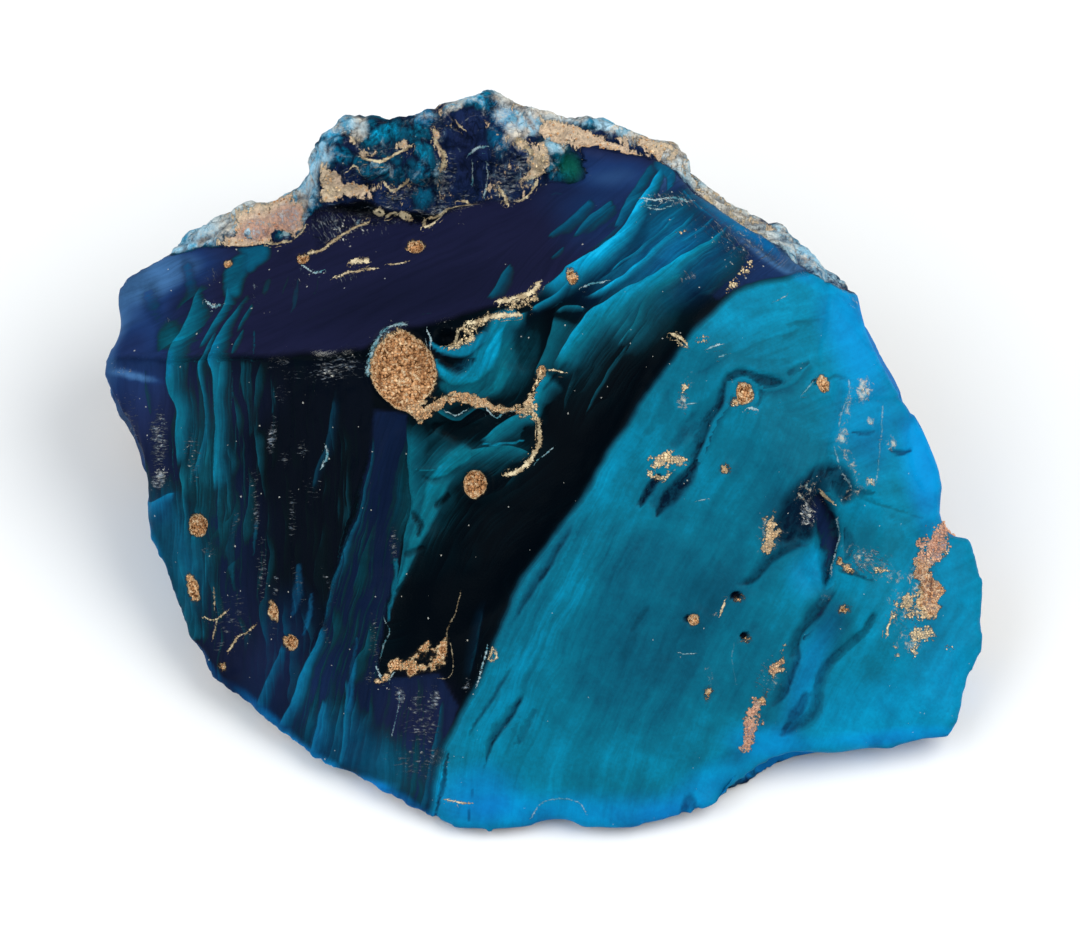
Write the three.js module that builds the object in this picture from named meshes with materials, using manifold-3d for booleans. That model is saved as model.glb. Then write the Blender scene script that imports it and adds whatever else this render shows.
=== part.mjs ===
// Rough turquoise: one broken lump, about 79 mm long, lying on a flat underside.
// Its show side is glassy and banded. A lumpy weathered rind stands along its back top edge and
// goes down its back.
// Units are millimetres, +Z is up, and the origin is under the middle of the lump, on the surface
// it lies on.
import * as THREE from "three";
import { ConvexGeometry } from "three/addons/geometries/ConvexGeometry.js";
import { ImprovedNoise } from "three/addons/math/ImprovedNoise.js";
import { mergeVertices } from "three/addons/utils/BufferGeometryUtils.js";
import Module from "manifold-3d";

// The show side is square on to a plane that leans back. Across and up are measured in that plane
// from its middle, and toward is measured out of it. A corner's place is [across, up, height], with
// its height above the underside.
const showElevation = THREE.MathUtils.degToRad(55);
const showMiddle = new THREE.Vector3(-0.3, -0.16, 13);
const leanBack = Math.PI / 2 - showElevation;

function cornerAt([across, up, height]) {
  const rise = (height - showMiddle.z) * Math.cos(showElevation);
  const y = showMiddle.y + (up - rise) / Math.sin(showElevation);
  return new THREE.Vector3(showMiddle.x + across, y, height);
}

const corners = (list) => list.map(cornerAt);
const points = (list) => list.map((place) => new THREE.Vector3(...place));

// The outline, clockwise from the left tip.
const leftTip = [[-39.1, 9.8, 14.5], [-38.1, 15.2, 15.6], [-37.6, 16.7, 16], [-33.2, 19.1, 16.5]];
const rearRightRim = [[11.4, 29.4, 28.2], [16.3, 24.8, 27], [22.5, 20.8, 24.8], [28.3, 15.8, 22.6]];
const rightEdge = [[30.3, 10.5, 21], [34.2, 4, 17.4], [35.8, -0.5, 15], [35.9, -3.2, 13.4]];
const rightLobe = [
  [39.2, -8.8, 9.5], [39.7, -11, 8.5], [39.4, -16.6, 6], [37.7, -21.5, 4], [36.6, -23.8, 3],
];
const frontEdge = [
  [17.5, -28.3, 1.8], [12.5, -30.9, 1.6], [8, -32.1, 1.5], [-4.5, -32.2, 1.2], [-7.5, -31.8, 1.2],
];
const leftFront = [[-11.5, -30.2, 1.4], [-20.6, -25.4, 1.8], [-25.5, -21.2, 2.4], [-29.4, -18.6, 3.2]];
const leftEdge = [[-33.4, -9.7, 6.5], [-35.3, -4.4, 8.5], [-36.2, 3, 11.5], [-38.7, 7.6, 13.2]];
const outline = [leftTip, rearRightRim, rightEdge, rightLobe, frontEdge, leftFront, leftEdge].flat();

// The edges where the broken faces of the show side meet.
const topFaceEdge = [
  [-16, 10.5, 24.4], [-9, 13, 26.2], [0, 15.5, 28.6], [6, 19, 29.6], [9.8, 26.6, 29.2],
];
const brightFaceRidge = [[17.5, 22.5, 28.6], [24, 17.5, 26.4], [13.5, 13.2, 28.4], [8, 6, 24.6]];
const lowerRidge = [[3, -2.5, 20.2], [-2.2, -12, 14.8], [-6.5, -22, 8]];
const leftFaceEdge = [[-15, 5, 23.2], [-17.5, -7.5, 15.4], [-20, -15, 9.6]];
const faceEdges = [topFaceEdge, brightFaceRidge, lowerRidge, leftFaceEdge].flat();

// The flat underside and the broken back and sides, as [x, y, z].
const underside = [
  [-8, -28.4, 0], [8, -28.6, 0], [15, -26.4, 0], [30, -21, 0], [35, -19, 0], [36.6, -11, 0],
  [33, -2, 0], [27, 9, 0], [16, 20, 0], [0, 26, 0], [-16, 24, 0], [-28, 18, 0], [-33, 9, 0],
  [-32, -2, 0], [-27, -13, 0], [-19, -21, 0],
];
const backAndSides = [
  [-35, 15, 8], [-31, 23.5, 12], [-14, 29, 13], [4, 30.3, 16], [16, 25, 15], [27, 14.5, 12],
  [34.6, 1, 7], [-14, 27.4, 21], [0, 28, 25], [-35, 6, 7], [38.2, -12, 4],
];

// The rind: four rough blocks that stand one after the other along the back of the top face, from
// left to right.
const rindBlocks = [
  [
    [-33.4, 19, 15.2], [-29, 20, 16.8], [-22.4, 20, 19], [-20.4, 22.2, 19.6], [-32.6, 20.6, 16.6],
    [-30.4, 21.7, 18], [-28, 21.7, 18.6], [-25.4, 23.7, 20.2], [-21, 25.4, 22],
    [-30.6, 20.8, 13.4], [-25, 23, 15.6], [-20.6, 25, 17.6], [-31, 12, 8], [-20, 14, 8],
  ],
  [
    [-20.8, 22.2, 19], [-15, 22.4, 21], [-9.4, 22, 23], [-21.2, 27.2, 23.4], [-19.6, 29.6, 25.4],
    [-17.2, 31.3, 27], [-12, 31.6, 28.6], [-9.6, 31.2, 28.8], [-20.4, 27, 19], [-17, 30.6, 21.4],
    [-9.4, 30.8, 23.4], [-20, 18, 12], [-9, 19, 12],
  ],
  [
    [-10.6, 22, 22.8], [-4, 23.8, 24.4], [1.4, 25.8, 26], [-10.6, 31.8, 28.8], [-7.6, 32.6, 29.8],
    [-4.8, 33.7, 30.8], [-2.6, 33.4, 30.6], [1, 31.9, 29.8], [-10, 31.2, 24], [-4, 32.4, 26.4],
    [1, 31.4, 25], [-9, 19, 12], [2, 20, 13],
  ],
  [
    [-0.6, 25.4, 25.6], [4.6, 28.4, 27], [10, 27.6, 27.6], [0.4, 32, 29.8], [4.4, 31.6, 29.8],
    [7.6, 30.5, 29.2], [11.8, 29.1, 28.4], [13.8, 26.8, 27.4], [0.8, 31.4, 25.2], [7.4, 30, 25],
    [12.4, 28, 25], [2, 20, 13], [12, 18, 14],
  ],
];

// Lumps of rind on the crest and the front of the blocks: the middle as [across, up, height], half-sizes
// [along the rind, through it, upright] and the turn about the upright, in degrees.
const crestLumps = [
  { middle: [-29.6, 18.9, 15], halfSizes: [3.6, 3, 3.2], turn: 24 },
  { middle: [-25, 20, 16.4], halfSizes: [5.6, 3.4, 4], turn: 12 },
  { middle: [-18.9, 24, 19.8], halfSizes: [2.5, 4, 4.2], turn: 0 },
  { middle: [-16, 26.9, 22.6], halfSizes: [5.4, 4.2, 5], turn: -15 },
  { middle: [-9.4, 27.6, 24.4], halfSizes: [5.4, 3.8, 4.8], turn: 10 },
  { middle: [-4.2, 29, 25.8], halfSizes: [4.8, 4.4, 4.9], turn: -10 },
  { middle: [2.6, 28, 25.8], halfSizes: [6, 3.6, 4], turn: 5 },
  { middle: [8.6, 26.4, 25], halfSizes: [5.6, 3.2, 3.8], turn: -24 },
  { middle: [-13.6, 24.4, 22.6], halfSizes: [4, 2, 2.2], turn: 8 },
  { middle: [-5, 26, 24.6], halfSizes: [4.4, 2, 2.4], turn: -6 },
];

// Lumps and hollows of the back and the sides, with the middle as [x, y, z].
const backLumps = [
  { middle: [-28, 12, 8], halfSizes: [12, 9, 7], turn: 46 },
  { middle: [-18, 19, 9.6], halfSizes: [13, 9.6, 8.6], turn: 24 },
  { middle: [-6, 21, 8], halfSizes: [12, 9, 7.4], turn: 6 },
  { middle: [5, 20.4, 16], halfSizes: [12, 9.6, 10], turn: -12 },
  { middle: [13, 15.6, 8], halfSizes: [12, 9, 8], turn: -38 },
  { middle: [22, 8.6, 10], halfSizes: [12, 9, 9], turn: -50 },
  { middle: [29, 0, 6], halfSizes: [9, 7, 5.6], turn: -68 },
];
const backHollows = [
  { middle: [-27, 30, 6], halfSizes: [8, 6, 6], turn: 40 },
  { middle: [-13, 34.6, 19], halfSizes: [5, 5.4, 7], turn: 20 },
  { middle: [4, 34.6, 6], halfSizes: [10, 6, 6], turn: -10 },
  { middle: [15, 31.6, 20], halfSizes: [6, 5, 9], turn: -30 },
  { middle: [26, 23.8, 4], halfSizes: [8, 6.4, 5], turn: -45 },
];
const lumpUnevenness = 0.3;
const lumpNoiseScale = 1.3;

// How finely the round shapes are divided, and how near two corners are before they count as one.
const lumpDetail = 3;
const breakSegments = 48;
const breakRings = 28;
const weldDistance = 1e-4;
const turned = THREE.MathUtils.degToRad;

// Shell-shaped breaks: the spot [across, up, toward] that an ellipsoid is centred on, its half-sizes
// along itself, across itself and in depth, its turn in the show plane and its roll about its own
// length, in degrees. The first is the valley by the bright face, the second the hollow in that face.
const faceBreaks = [
  { spot: [-3.4, 4.4, 21.6], halfSizes: [44, 13, 16], turn: 58, roll: -12 },
  { spot: [27.4, -5.8, 11], halfSizes: [8.4, 5, 6.6], turn: 72, roll: 0 },
];
// Breaks that cut through from front to back and leave the bays and notches of the outline. The first
// is the notch over the right lobe, the third the bay under it, and the fifth the hollow left side.
const outlineBreaks = [
  { spot: [38.8, -2.8, -4], halfSizes: [4.2, 2.8, 24], turn: 48, roll: 0 },
  { spot: [34.7, 11.2, 0], halfSizes: [11, 5, 24], turn: -63, roll: 0 },
  { spot: [27.6, -28.7, 0], halfSizes: [9.2, 3.6, 24], turn: 3, roll: 0 },
  { spot: [18.6, -31.2, 0], halfSizes: [5, 2.4, 24], turn: 32, roll: 0 },
  { spot: [-40.8, -0.2, -6], halfSizes: [12, 5, 24], turn: 107, roll: 0 },
  { spot: [-40.2, 13, -6], halfSizes: [2.6, 2.4, 16], turn: 90, roll: 0 },
  { spot: [-16.6, -28.7, 6], halfSizes: [3.4, 1.7, 16], turn: -26, roll: 0 },
  { spot: [1.6, -33.4, 6], halfSizes: [3.2, 2.3, 12], turn: 0, roll: 0 },
  { spot: [40.8, -14, 0], halfSizes: [1.7, 1.6, 16], turn: 90, roll: 0 },
];

const module = await Module();
module.setup();

// A three.js geometry as a solid that can be joined or cut.
function solidOf(geometry) {
  const bare = geometry.clone();
  bare.deleteAttribute("normal");
  bare.deleteAttribute("uv");
  const merged = mergeVertices(bare, weldDistance);
  const mesh = new module.Mesh({
    numProp: 3,
    vertProperties: new Float32Array(merged.attributes.position.array),
    triVerts: new Uint32Array(merged.index.array),
  });
  return new module.Manifold(mesh);
}

function geometryOf(solid) {
  const mesh = solid.getMesh();
  const geometry = new THREE.BufferGeometry();
  const places = new Float32Array(mesh.vertProperties);
  geometry.setAttribute("position", new THREE.BufferAttribute(places, 3));
  geometry.setIndex(new THREE.BufferAttribute(new Uint32Array(mesh.triVerts), 1));
  geometry.computeVertexNormals();
  return geometry;
}

const block = (places) => solidOf(new ConvexGeometry(places));

function core() {
  const showSide = corners([...outline, ...faceEdges]);
  return block([...showSide, ...points(underside), ...points(backAndSides)]);
}

// A lump is an ellipsoid whose skin is pushed in and out by noise, so that no two are alike.
const noise = new ImprovedNoise();

function lump(centre, halfSizes, turn) {
  const ball = new THREE.IcosahedronGeometry(1, lumpDetail);
  ball.deleteAttribute("uv");
  ball.deleteAttribute("normal");
  const geometry = mergeVertices(ball, weldDistance);
  const skin = geometry.attributes.position;
  const place = new THREE.Vector3();
  for (let i = 0; i < skin.count; i++) {
    place.fromBufferAttribute(skin, i);
    const sample = place.clone().multiplyScalar(lumpNoiseScale).add(centre);
    place.multiplyScalar(1 + lumpUnevenness * noise.noise(sample.x, sample.y, sample.z));
    skin.setXYZ(i, place.x, place.y, place.z);
  }
  geometry.scale(...halfSizes).rotateZ(turned(turn));
  geometry.translate(centre.x, centre.y, centre.z);
  return solidOf(geometry);
}

function shellBreak({ spot: [across, up, toward], halfSizes, turn, roll }) {
  const shape = new THREE.SphereGeometry(1, breakSegments, breakRings).scale(...halfSizes);
  shape.rotateX(turned(roll)).rotateZ(turned(turn));
  shape.translate(across, up, toward).rotateX(leanBack);
  return solidOf(shape.translate(showMiddle.x, showMiddle.y, showMiddle.z));
}

// What is below the surface that the lump lies on.
const belowSize = { width: 200, depth: 50 };

function below() {
  const box = new THREE.BoxGeometry(belowSize.width, belowSize.width, belowSize.depth);
  return solidOf(box.translate(0, 0, -belowSize.depth / 2));
}

const glassColour = 0x0b6f8f;

function stone() {
  let solid = core();
  for (const cut of faceBreaks) solid = solid.subtract(shellBreak(cut));
  for (const places of rindBlocks) solid = solid.add(block(corners(places)));
  for (const { middle, halfSizes, turn } of crestLumps) {
    solid = solid.add(lump(cornerAt(middle), halfSizes, turn));
  }
  for (const { middle, halfSizes, turn } of backLumps) {
    solid = solid.add(lump(new THREE.Vector3(...middle), halfSizes, turn));
  }
  for (const { middle, halfSizes, turn } of backHollows) {
    solid = solid.subtract(lump(new THREE.Vector3(...middle), halfSizes, turn));
  }
  for (const cut of outlineBreaks) solid = solid.subtract(shellBreak(cut));
  solid = solid.subtract(below());
  const material = new THREE.MeshStandardMaterial({ color: glassColour, roughness: 0.3, metalness: 0 });
  const mesh = new THREE.Mesh(geometryOf(solid), material);
  mesh.name = "stone";
  return mesh;
}

const roughTurquoise = new THREE.Group();
roughTurquoise.add(stone());

export default roughTurquoise;
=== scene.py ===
import math
import random

import bmesh
import bpy
import numpy as np
from mathutils import Matrix, Vector, noise


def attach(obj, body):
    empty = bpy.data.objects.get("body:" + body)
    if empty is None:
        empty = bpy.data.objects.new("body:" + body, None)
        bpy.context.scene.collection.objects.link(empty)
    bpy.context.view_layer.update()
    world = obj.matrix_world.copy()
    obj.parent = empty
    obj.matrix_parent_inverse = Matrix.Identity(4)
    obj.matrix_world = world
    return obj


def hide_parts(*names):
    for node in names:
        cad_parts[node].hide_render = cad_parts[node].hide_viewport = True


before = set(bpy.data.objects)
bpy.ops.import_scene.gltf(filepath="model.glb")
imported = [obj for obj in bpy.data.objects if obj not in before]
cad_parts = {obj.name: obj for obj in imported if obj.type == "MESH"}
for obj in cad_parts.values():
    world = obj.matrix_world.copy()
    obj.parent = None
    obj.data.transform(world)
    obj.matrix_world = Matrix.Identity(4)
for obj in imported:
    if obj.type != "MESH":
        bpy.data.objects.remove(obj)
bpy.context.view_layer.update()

# The show side is looked at square on to a plane that leans back. Everything on it is placed in millimetres
# across and up that plane from its middle, with toward as the distance out of it.
mm = 0.001
showElevation = math.radians(55)
showMiddle = np.array((-0.3, -0.16, 13.0))
acrossWay = np.array((1.0, 0.0, 0.0))
upWay = np.array((0.0, math.sin(showElevation), math.cos(showElevation)))
towardWay = np.array((0.0, -math.cos(showElevation), math.sin(showElevation)))


def easeStep(low, high, values):
    t = np.clip((values - low) / (high - low), 0, 1)
    return t * t * (3 - 2 * t)


def noiseAt(places, size, shift=0.0):
    # each shift gives another layer of the same noise
    spots = places / size + shift
    return np.array([noise.noise(Vector(spot)) for spot in spots])


def lumpsAt(places, size, shift=0.0):
    # 1 at the middle of each round cell and 0 at the creases between them
    spots = places / size + shift
    nearest = np.array([noise.voronoi(Vector(spot))[0][:2] for spot in spots])
    return np.clip(nearest[:, 1] - nearest[:, 0], 0, 1)


def roundedLine(line, steps=4):
    # a smooth curve through given points
    line = [np.array(spot, float) for spot in line]
    if len(line) < 3:
        return np.array(line)
    ends = [2 * line[0] - line[1]] + line + [2 * line[-1] - line[-2]]
    made = []
    for a, b, c, d in zip(ends, ends[1:], ends[2:], ends[3:]):
        for step in range(steps):
            t = step / steps
            bend = (2 * a - 5 * b + 4 * c - d) * t**2
            made.append(0.5 * (2 * b + (c - a) * t + bend + (3 * b - a - 3 * c + d) * t**3))
    return np.array(made + [line[-1]])


def measureLine(spots, line):
    # distance to the line, the side (left of its run is positive) and the run along it from 0 to 1
    lengths = np.hypot(*(line[1:] - line[:-1]).T)
    before = np.concatenate(((0,), np.cumsum(lengths)))
    nearest = np.full(len(spots), 1e9)
    side = np.zeros(len(spots))
    run = np.zeros(len(spots))
    for start, end, length, base in zip(line, line[1:], lengths, before):
        way = (end - start) / max(length, 1e-9)
        along = np.clip((spots - start) @ way, 0, length)
        off = spots - start - along[:, None] * way
        distance = np.hypot(off[:, 0], off[:, 1])
        closer = distance < nearest
        nearest[closer] = distance[closer]
        side[closer] = np.sign(way[0] * off[:, 1] - way[1] * off[:, 0])[closer]
        run[closer] = ((base + along) / before[-1])[closer]
    return nearest, side, run


def insideOutline(spots, outline):
    inside = np.zeros(len(spots), bool)
    for (ax, ay), (bx, by) in zip(outline, np.roll(outline, -1, axis=0)):
        crosses = (ay > spots[:, 1]) != (by > spots[:, 1])
        inside ^= crosses & (spots[:, 0] < (bx - ax) * (spots[:, 1] - ay) / (by - ay + 1e-12) + ax)
    return inside


def depthInside(spots, outline):
    # how far inside a closed outline a spot is, and below 0 outside it
    outline = np.array(outline, float)
    closed = np.concatenate((outline, outline[:1]))
    return measureLine(spots, closed)[0] * np.where(insideOutline(spots, outline), 1, -1)


def nearLine(spots, line, reach):
    # which spots lie within reach of a line, and the line rounded
    line = roundedLine(line)
    near = np.all((spots > line.min(axis=0) - reach) & (spots < line.max(axis=0) + reach), axis=1)
    return np.nonzero(near)[0], line


def widthAlong(run, halfWidths):
    return np.interp(run, np.linspace(0, 1, len(halfWidths)), halfWidths)


def foldOn(spots, line, halfWidths, lean):
    # a fold: which spots it reaches, how bright its body is there, and how far inside its crisp edge they are
    near, line = nearLine(spots, line, max(halfWidths) * 1.1 + 0.6)
    distance, side, run = measureLine(spots[near], line)
    half = widthAlong(run, halfWidths)
    if not lean:
        return near, 1 - easeStep(0.4, 1.15, distance / half), np.ones(len(near))
    inside = distance * side * lean
    ends = easeStep(0, 0.1, run) * easeStep(1, 0.9, run)
    body = np.clip(1 - inside / half, 0, 1) ** 1.2 * (1 - easeStep(0, 0.6, -inside)) * (0.25 + 0.75 * ends)
    return near, body, np.clip(inside, -1, 1)


def reachOn(spots, middle, halfSizes, turn=0):
    # 0 in the middle of an oval and 1 on its outline
    turn = math.radians(turn)
    off = spots - np.array(middle)
    along = off[:, 0] * math.cos(turn) + off[:, 1] * math.sin(turn)
    across = off[:, 1] * math.cos(turn) - off[:, 0] * math.sin(turn)
    return np.hypot(along / halfSizes[0], across / halfSizes[1])


def ovalOn(spots, middle, halfSizes, turn=0, soft=0.5):
    return 1 - easeStep(1 - soft, 1 + soft, reachOn(spots, middle, halfSizes, turn))


def blend(values, target, weight):
    values += (target - values) * weight


def strongestOf(spots, ovals, soft):
    # a list of ovals laid over each other, each with its own strength
    strongest = np.zeros(len(spots))
    for middle, halfSizes, strength, *turn in ovals:
        strongest = np.maximum(strongest, ovalOn(spots, middle, halfSizes, *turn, soft=soft) * strength)
    return strongest


def putInScene(name, data):
    thing = bpy.data.objects.new(name, data)
    bpy.context.scene.collection.objects.link(thing)
    return thing


def meshFrom(form, name):
    mesh = bpy.data.meshes.new(name)
    form.to_mesh(mesh)
    form.free()
    return mesh


def linearColour(text):
    # from the usual hex text to the linear values that nodes take
    parts = [int(text[i:i + 2], 16) / 255 for i in (1, 3, 5)]
    return (*[c / 12.92 if c <= 0.04045 else ((c + 0.055) / 1.055) ** 2.4 for c in parts], 1)


class Shading:
    # short ways to add and link the nodes of one material
    def __init__(self, name):
        self.material = bpy.data.materials.new(name)
        self.material.use_nodes = True
        self.nodes = self.material.node_tree.nodes
        self.links = self.material.node_tree.links
        self.shader = self.nodes["Principled BSDF"]

    def put(self, value, socket):
        if isinstance(value, bpy.types.NodeSocket):
            self.links.new(value, socket)
        elif value is not None:
            socket.default_value = linearColour(value) if isinstance(value, str) else value

    def set(self, name, value):
        # on the surface's own socket
        self.put(value, self.shader.inputs[name])

    def add(self, kind, settings=None, **inputs):
        node = self.nodes.new("ShaderNode" + kind)
        for name, value in (settings or {}).items():
            setattr(node, name, value)
        for name, value in inputs.items():
            self.put(value, node.inputs[name])
        return node

    def math(self, operation, first, second=None, third=None, clamp=False):
        node = self.add("Math", {"operation": operation, "use_clamp": clamp})
        for value, socket in zip((first, second, third), node.inputs):
            self.put(value, socket)
        return node.outputs[0]

    def times(self, first, second, clamp=False):
        return self.math("MULTIPLY", first, second, clamp=clamp)

    def timesPlus(self, first, factor, added, clamp=False):
        return self.math("MULTIPLY_ADD", first, factor, added, clamp)

    def less(self, first, second):
        return self.math("SUBTRACT", first, second)

    def sway(self, wave, amount, base):
        # the base, raised and lowered by a noise about its middle
        return self.timesPlus(self.less(wave, 0.5), amount, base)

    def highest(self, first, *others):
        for value in others:
            first = self.math("MAXIMUM", first, value)
        return first

    def spread(self, value, low, high, newLow=0.0, newHigh=1.0):
        # an eased step from newLow to newHigh while the value goes from low to high
        node = self.add("MapRange", {"interpolation_type": "SMOOTHSTEP"})
        names = ("Value", "From Min", "From Max", "To Min", "To Max")
        for name, number in zip(names, (value, low, high, newLow, newHigh)):
            self.put(number, node.inputs[name])
        return node.outputs["Result"]

    def mix(self, amount, first, second, blend="MIX"):
        node = self.add("Mix", {"data_type": "RGBA", "blend_type": blend, "clamp_factor": True})
        for value, socket in zip((amount, first, second), (node.inputs[0], node.inputs[6], node.inputs[7])):
            self.put(value, socket)
        return node.outputs[2]

    def ramp(self, value, stops):
        node = self.add("ValToRGB", Fac=value)
        steps = node.color_ramp.elements
        while len(steps) < len(stops):
            steps.new(0.5)
        for step, (place, paint) in zip(steps, stops):
            step.position = place
            step.color = linearColour(paint)
        return node.outputs["Color"]

    def noise(self, vector, scale, detail=2.0, roughness=0.5, distortion=0.0):
        node = self.add("TexNoise", Vector=vector, Scale=scale, Detail=detail, Roughness=roughness,
                        Distortion=distortion)
        return node.outputs["Fac"]

    def vector(self, operation, *values):
        node = self.add("VectorMath", {"operation": operation})
        for value, socket in zip(values, node.inputs):
            self.put(value, socket)
        return node.outputs[0]

    def millimetres(self):
        # the place on the piece itself, in millimetres
        node = self.add("VectorMath", {"operation": "SCALE"}, Scale=1 / mm)
        self.put(self.add("TexCoord").outputs["Object"], node.inputs[0])
        return node.outputs[0]

    def stretched(self, vector, x, y, layer=0.0):
        return self.vector("ADD", self.vector("MULTIPLY", vector, (x, y, 1)), (0, 0, layer))

    def bent(self, vector, scale, amount):
        # the same place moved about by noise, so that straight patterns wander
        drift = self.add("TexNoise", Vector=vector, Scale=scale, Detail=3.0)
        centred = self.vector("SUBTRACT", drift.outputs["Color"], (0.5, 0.5, 0.5))
        return self.vector("MULTIPLY_ADD", centred, (amount, amount, amount), vector)

    def bands(self, flow, perMillimetre, seed):
        # hanging bands along the flow, each bright at its crisp left edge and fading to the right
        parts = self.add("SeparateXYZ", Vector=flow)
        wander = self.noise(self.stretched(flow, 0.16, 0.09, seed), 1.0, 2, 0.5)
        across = self.timesPlus(wander, 3.2, self.times(parts.outputs["X"], perMillimetre))
        fall = self.math("POWER", self.less(1.0, self.math("FRACT", across)), 1.5)
        spot = self.add("CombineXYZ", X=self.times(self.math("FLOOR", across), 7.3),
                        Y=self.times(parts.outputs["Y"], 0.16), Z=seed)
        return self.times(fall, self.spread(self.noise(spot.outputs[0], 1.0, 1, 0.5), 0.38, 0.72))

    def channels(self, attribute):
        # the four channels of a colour attribute
        node = self.add("Attribute", {"attribute_name": attribute})
        parts = self.add("SeparateColor", Color=node.outputs["Color"])
        return [*parts.outputs, node.outputs["Alpha"]]

    def bump(self, height, strength, depth):
        node = self.add("Bump", Height=height, Strength=strength, Distance=depth)
        self.set("Normal", node.outputs[0])


# ---- camera and light
view = {
    "distance": 2.0,
    "frameWidth": 96.6 * mm,  # what the picture takes in at the stone's middle
    "sensorWidth": 36,
    "lights": {
        "key": {"place": (0.42, -0.04, 0.5), "size": 0.7, "power": 4.3, "colour": (1.0, 0.985, 0.96)},
        "fill": {"place": (-0.5, -0.2, 0.45), "size": 0.9, "power": 4.2, "colour": (0.93, 0.96, 1.0)},
    },
    "roomLight": (0.84, 0.87, 0.9),
    "roomStrength": 0.62,
    "floorColour": (0.76, 0.77, 0.77),
    "floorRoughness": 0.75,
    "floorGloss": 0.2,
    "floorHalfSize": 3,
}


def aimAt(thing, target):
    thing.rotation_euler = (target - thing.location).to_track_quat("-Z", "Y").to_euler()


def makeCamera():
    camera = putInScene("camera", bpy.data.cameras.new("camera"))
    camera.data.sensor_width = view["sensorWidth"]
    camera.data.lens = view["sensorWidth"] * view["distance"] / view["frameWidth"]
    middle = Vector(showMiddle * mm)
    camera.location = middle + Vector(towardWay) * view["distance"]
    aimAt(camera, middle)
    camera.data.clip_start = 0.01
    camera.data.clip_end = 20
    bpy.context.scene.camera = camera


def makeLight(name, facts):
    lamp = bpy.data.lights.new(name, "AREA")
    lamp.shape = "DISK"
    lamp.size = facts["size"]
    lamp.energy = facts["power"]
    lamp.color = facts["colour"]
    light = putInScene(name, lamp)
    light.location = facts["place"]
    aimAt(light, Vector(showMiddle * mm))


def makeRoom():
    world = bpy.data.worlds.new("room")
    world.use_nodes = True
    background = world.node_tree.nodes["Background"]
    background.inputs["Color"].default_value = (*view["roomLight"], 1)
    background.inputs["Strength"].default_value = view["roomStrength"]
    bpy.context.scene.world = world
    bpy.context.scene.view_settings.view_transform = "Standard"


def makeTabletop():
    form = bmesh.new()
    bmesh.ops.create_grid(form, x_segments=1, y_segments=1, size=view["floorHalfSize"])
    tabletop = putInScene("tabletop", meshFrom(form, "tabletop"))
    paint = Shading("white tabletop")
    paint.set("Base Color", (*view["floorColour"], 1))
    paint.set("Roughness", view["floorRoughness"])
    paint.set("Specular IOR Level", view["floorGloss"])
    tabletop.data.materials.append(paint.material)


makeCamera()
for name, facts in view["lights"].items():
    makeLight(name, facts)
makeRoom()
makeTabletop()
print("camera, lights and tabletop made")

# ---- the stone's own drawing, in millimetres across and up the show side
# Every line runs through given points. Every spot is an oval: middle, half-sizes, what it does, and its
# turn in degrees where it has one.
# Faces: outline, how dark the glass is (ink), how blue its dark tone is, its teal and its soft edge.
faces = {
    # dark violet: partly the glass's own tone, partly a painted reflection of the room above
    "top": {
        "outline": [(-40, 9.8), (-25, 9.8), (-16, 10.6), (-9, 13), (-0.5, 15.4), (6, 18.6), (9.6, 22),
                    (11, 27.4), (4, 29), (-4, 24), (-10, 22), (-22, 24), (-34, 20), (-42, 16)],
        "ink": 0.68, "blue": 0.12, "teal": 0, "edge": 0.3,
    },
    "left": {
        "outline": [(-42, 9.8), (-25, 9.8), (-15, 9.6), (-14.9, 4), (-15.6, -1), (-17.2, -7), (-19, -13),
                    (-23.6, -24), (-32, -22), (-42, 0)],
        "ink": 0.05, "blue": 0.3, "teal": 0, "edge": 0.3,
    },
    "fan": {
        "outline": [(-14.8, 5.2), (-15.4, 0), (-16, -3.5), (-17.2, -7), (-18.3, -10), (-19.8, -15.5),
                    (-22.3, -22), (-24, -26), (-14, -30), (-8, -34), (-8.4, -25), (-7, -21), (-9, -18.4),
                    (-14.4, -18.8), (-13.4, -12), (-11.9, -4), (-11.9, 5)],
        "ink": 0.3, "blue": 0.8, "teal": 0.11, "edge": 0.15,
    },
    "shoulder": {
        "outline": [(9.6, 22), (11, 27.6), (16, 24.4), (24.5, 17.4), (17.6, 15.5), (15.6, 14.6), (12, 17.2),
                    (10, 19)],
        "ink": 0.75, "blue": 1, "teal": 0.08, "edge": 0.4,
    },
}
brightFace = [(24.4, 17.5), (20, 16.5), (17.6, 15.5), (15.7, 14.3), (14.2, 13), (13, 11.4), (11.4, 9.4),
              (9.8, 7), (8, 4.4), (6, 1), (4.2, -1.9), (2.6, -4.3), (0.8, -7), (-1, -9.4), (-2.4, -11.6),
              (-3.4, -14), (-4.6, -17), (-6, -19.8), (-7.2, -22.2), (-8.4, -24.6), (-9, -27), (-9.8, -30.6),
              (-10, -34), (8, -36), (44, -30), (44, -5), (36, 12), (30, 18), (26, 18)]

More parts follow.
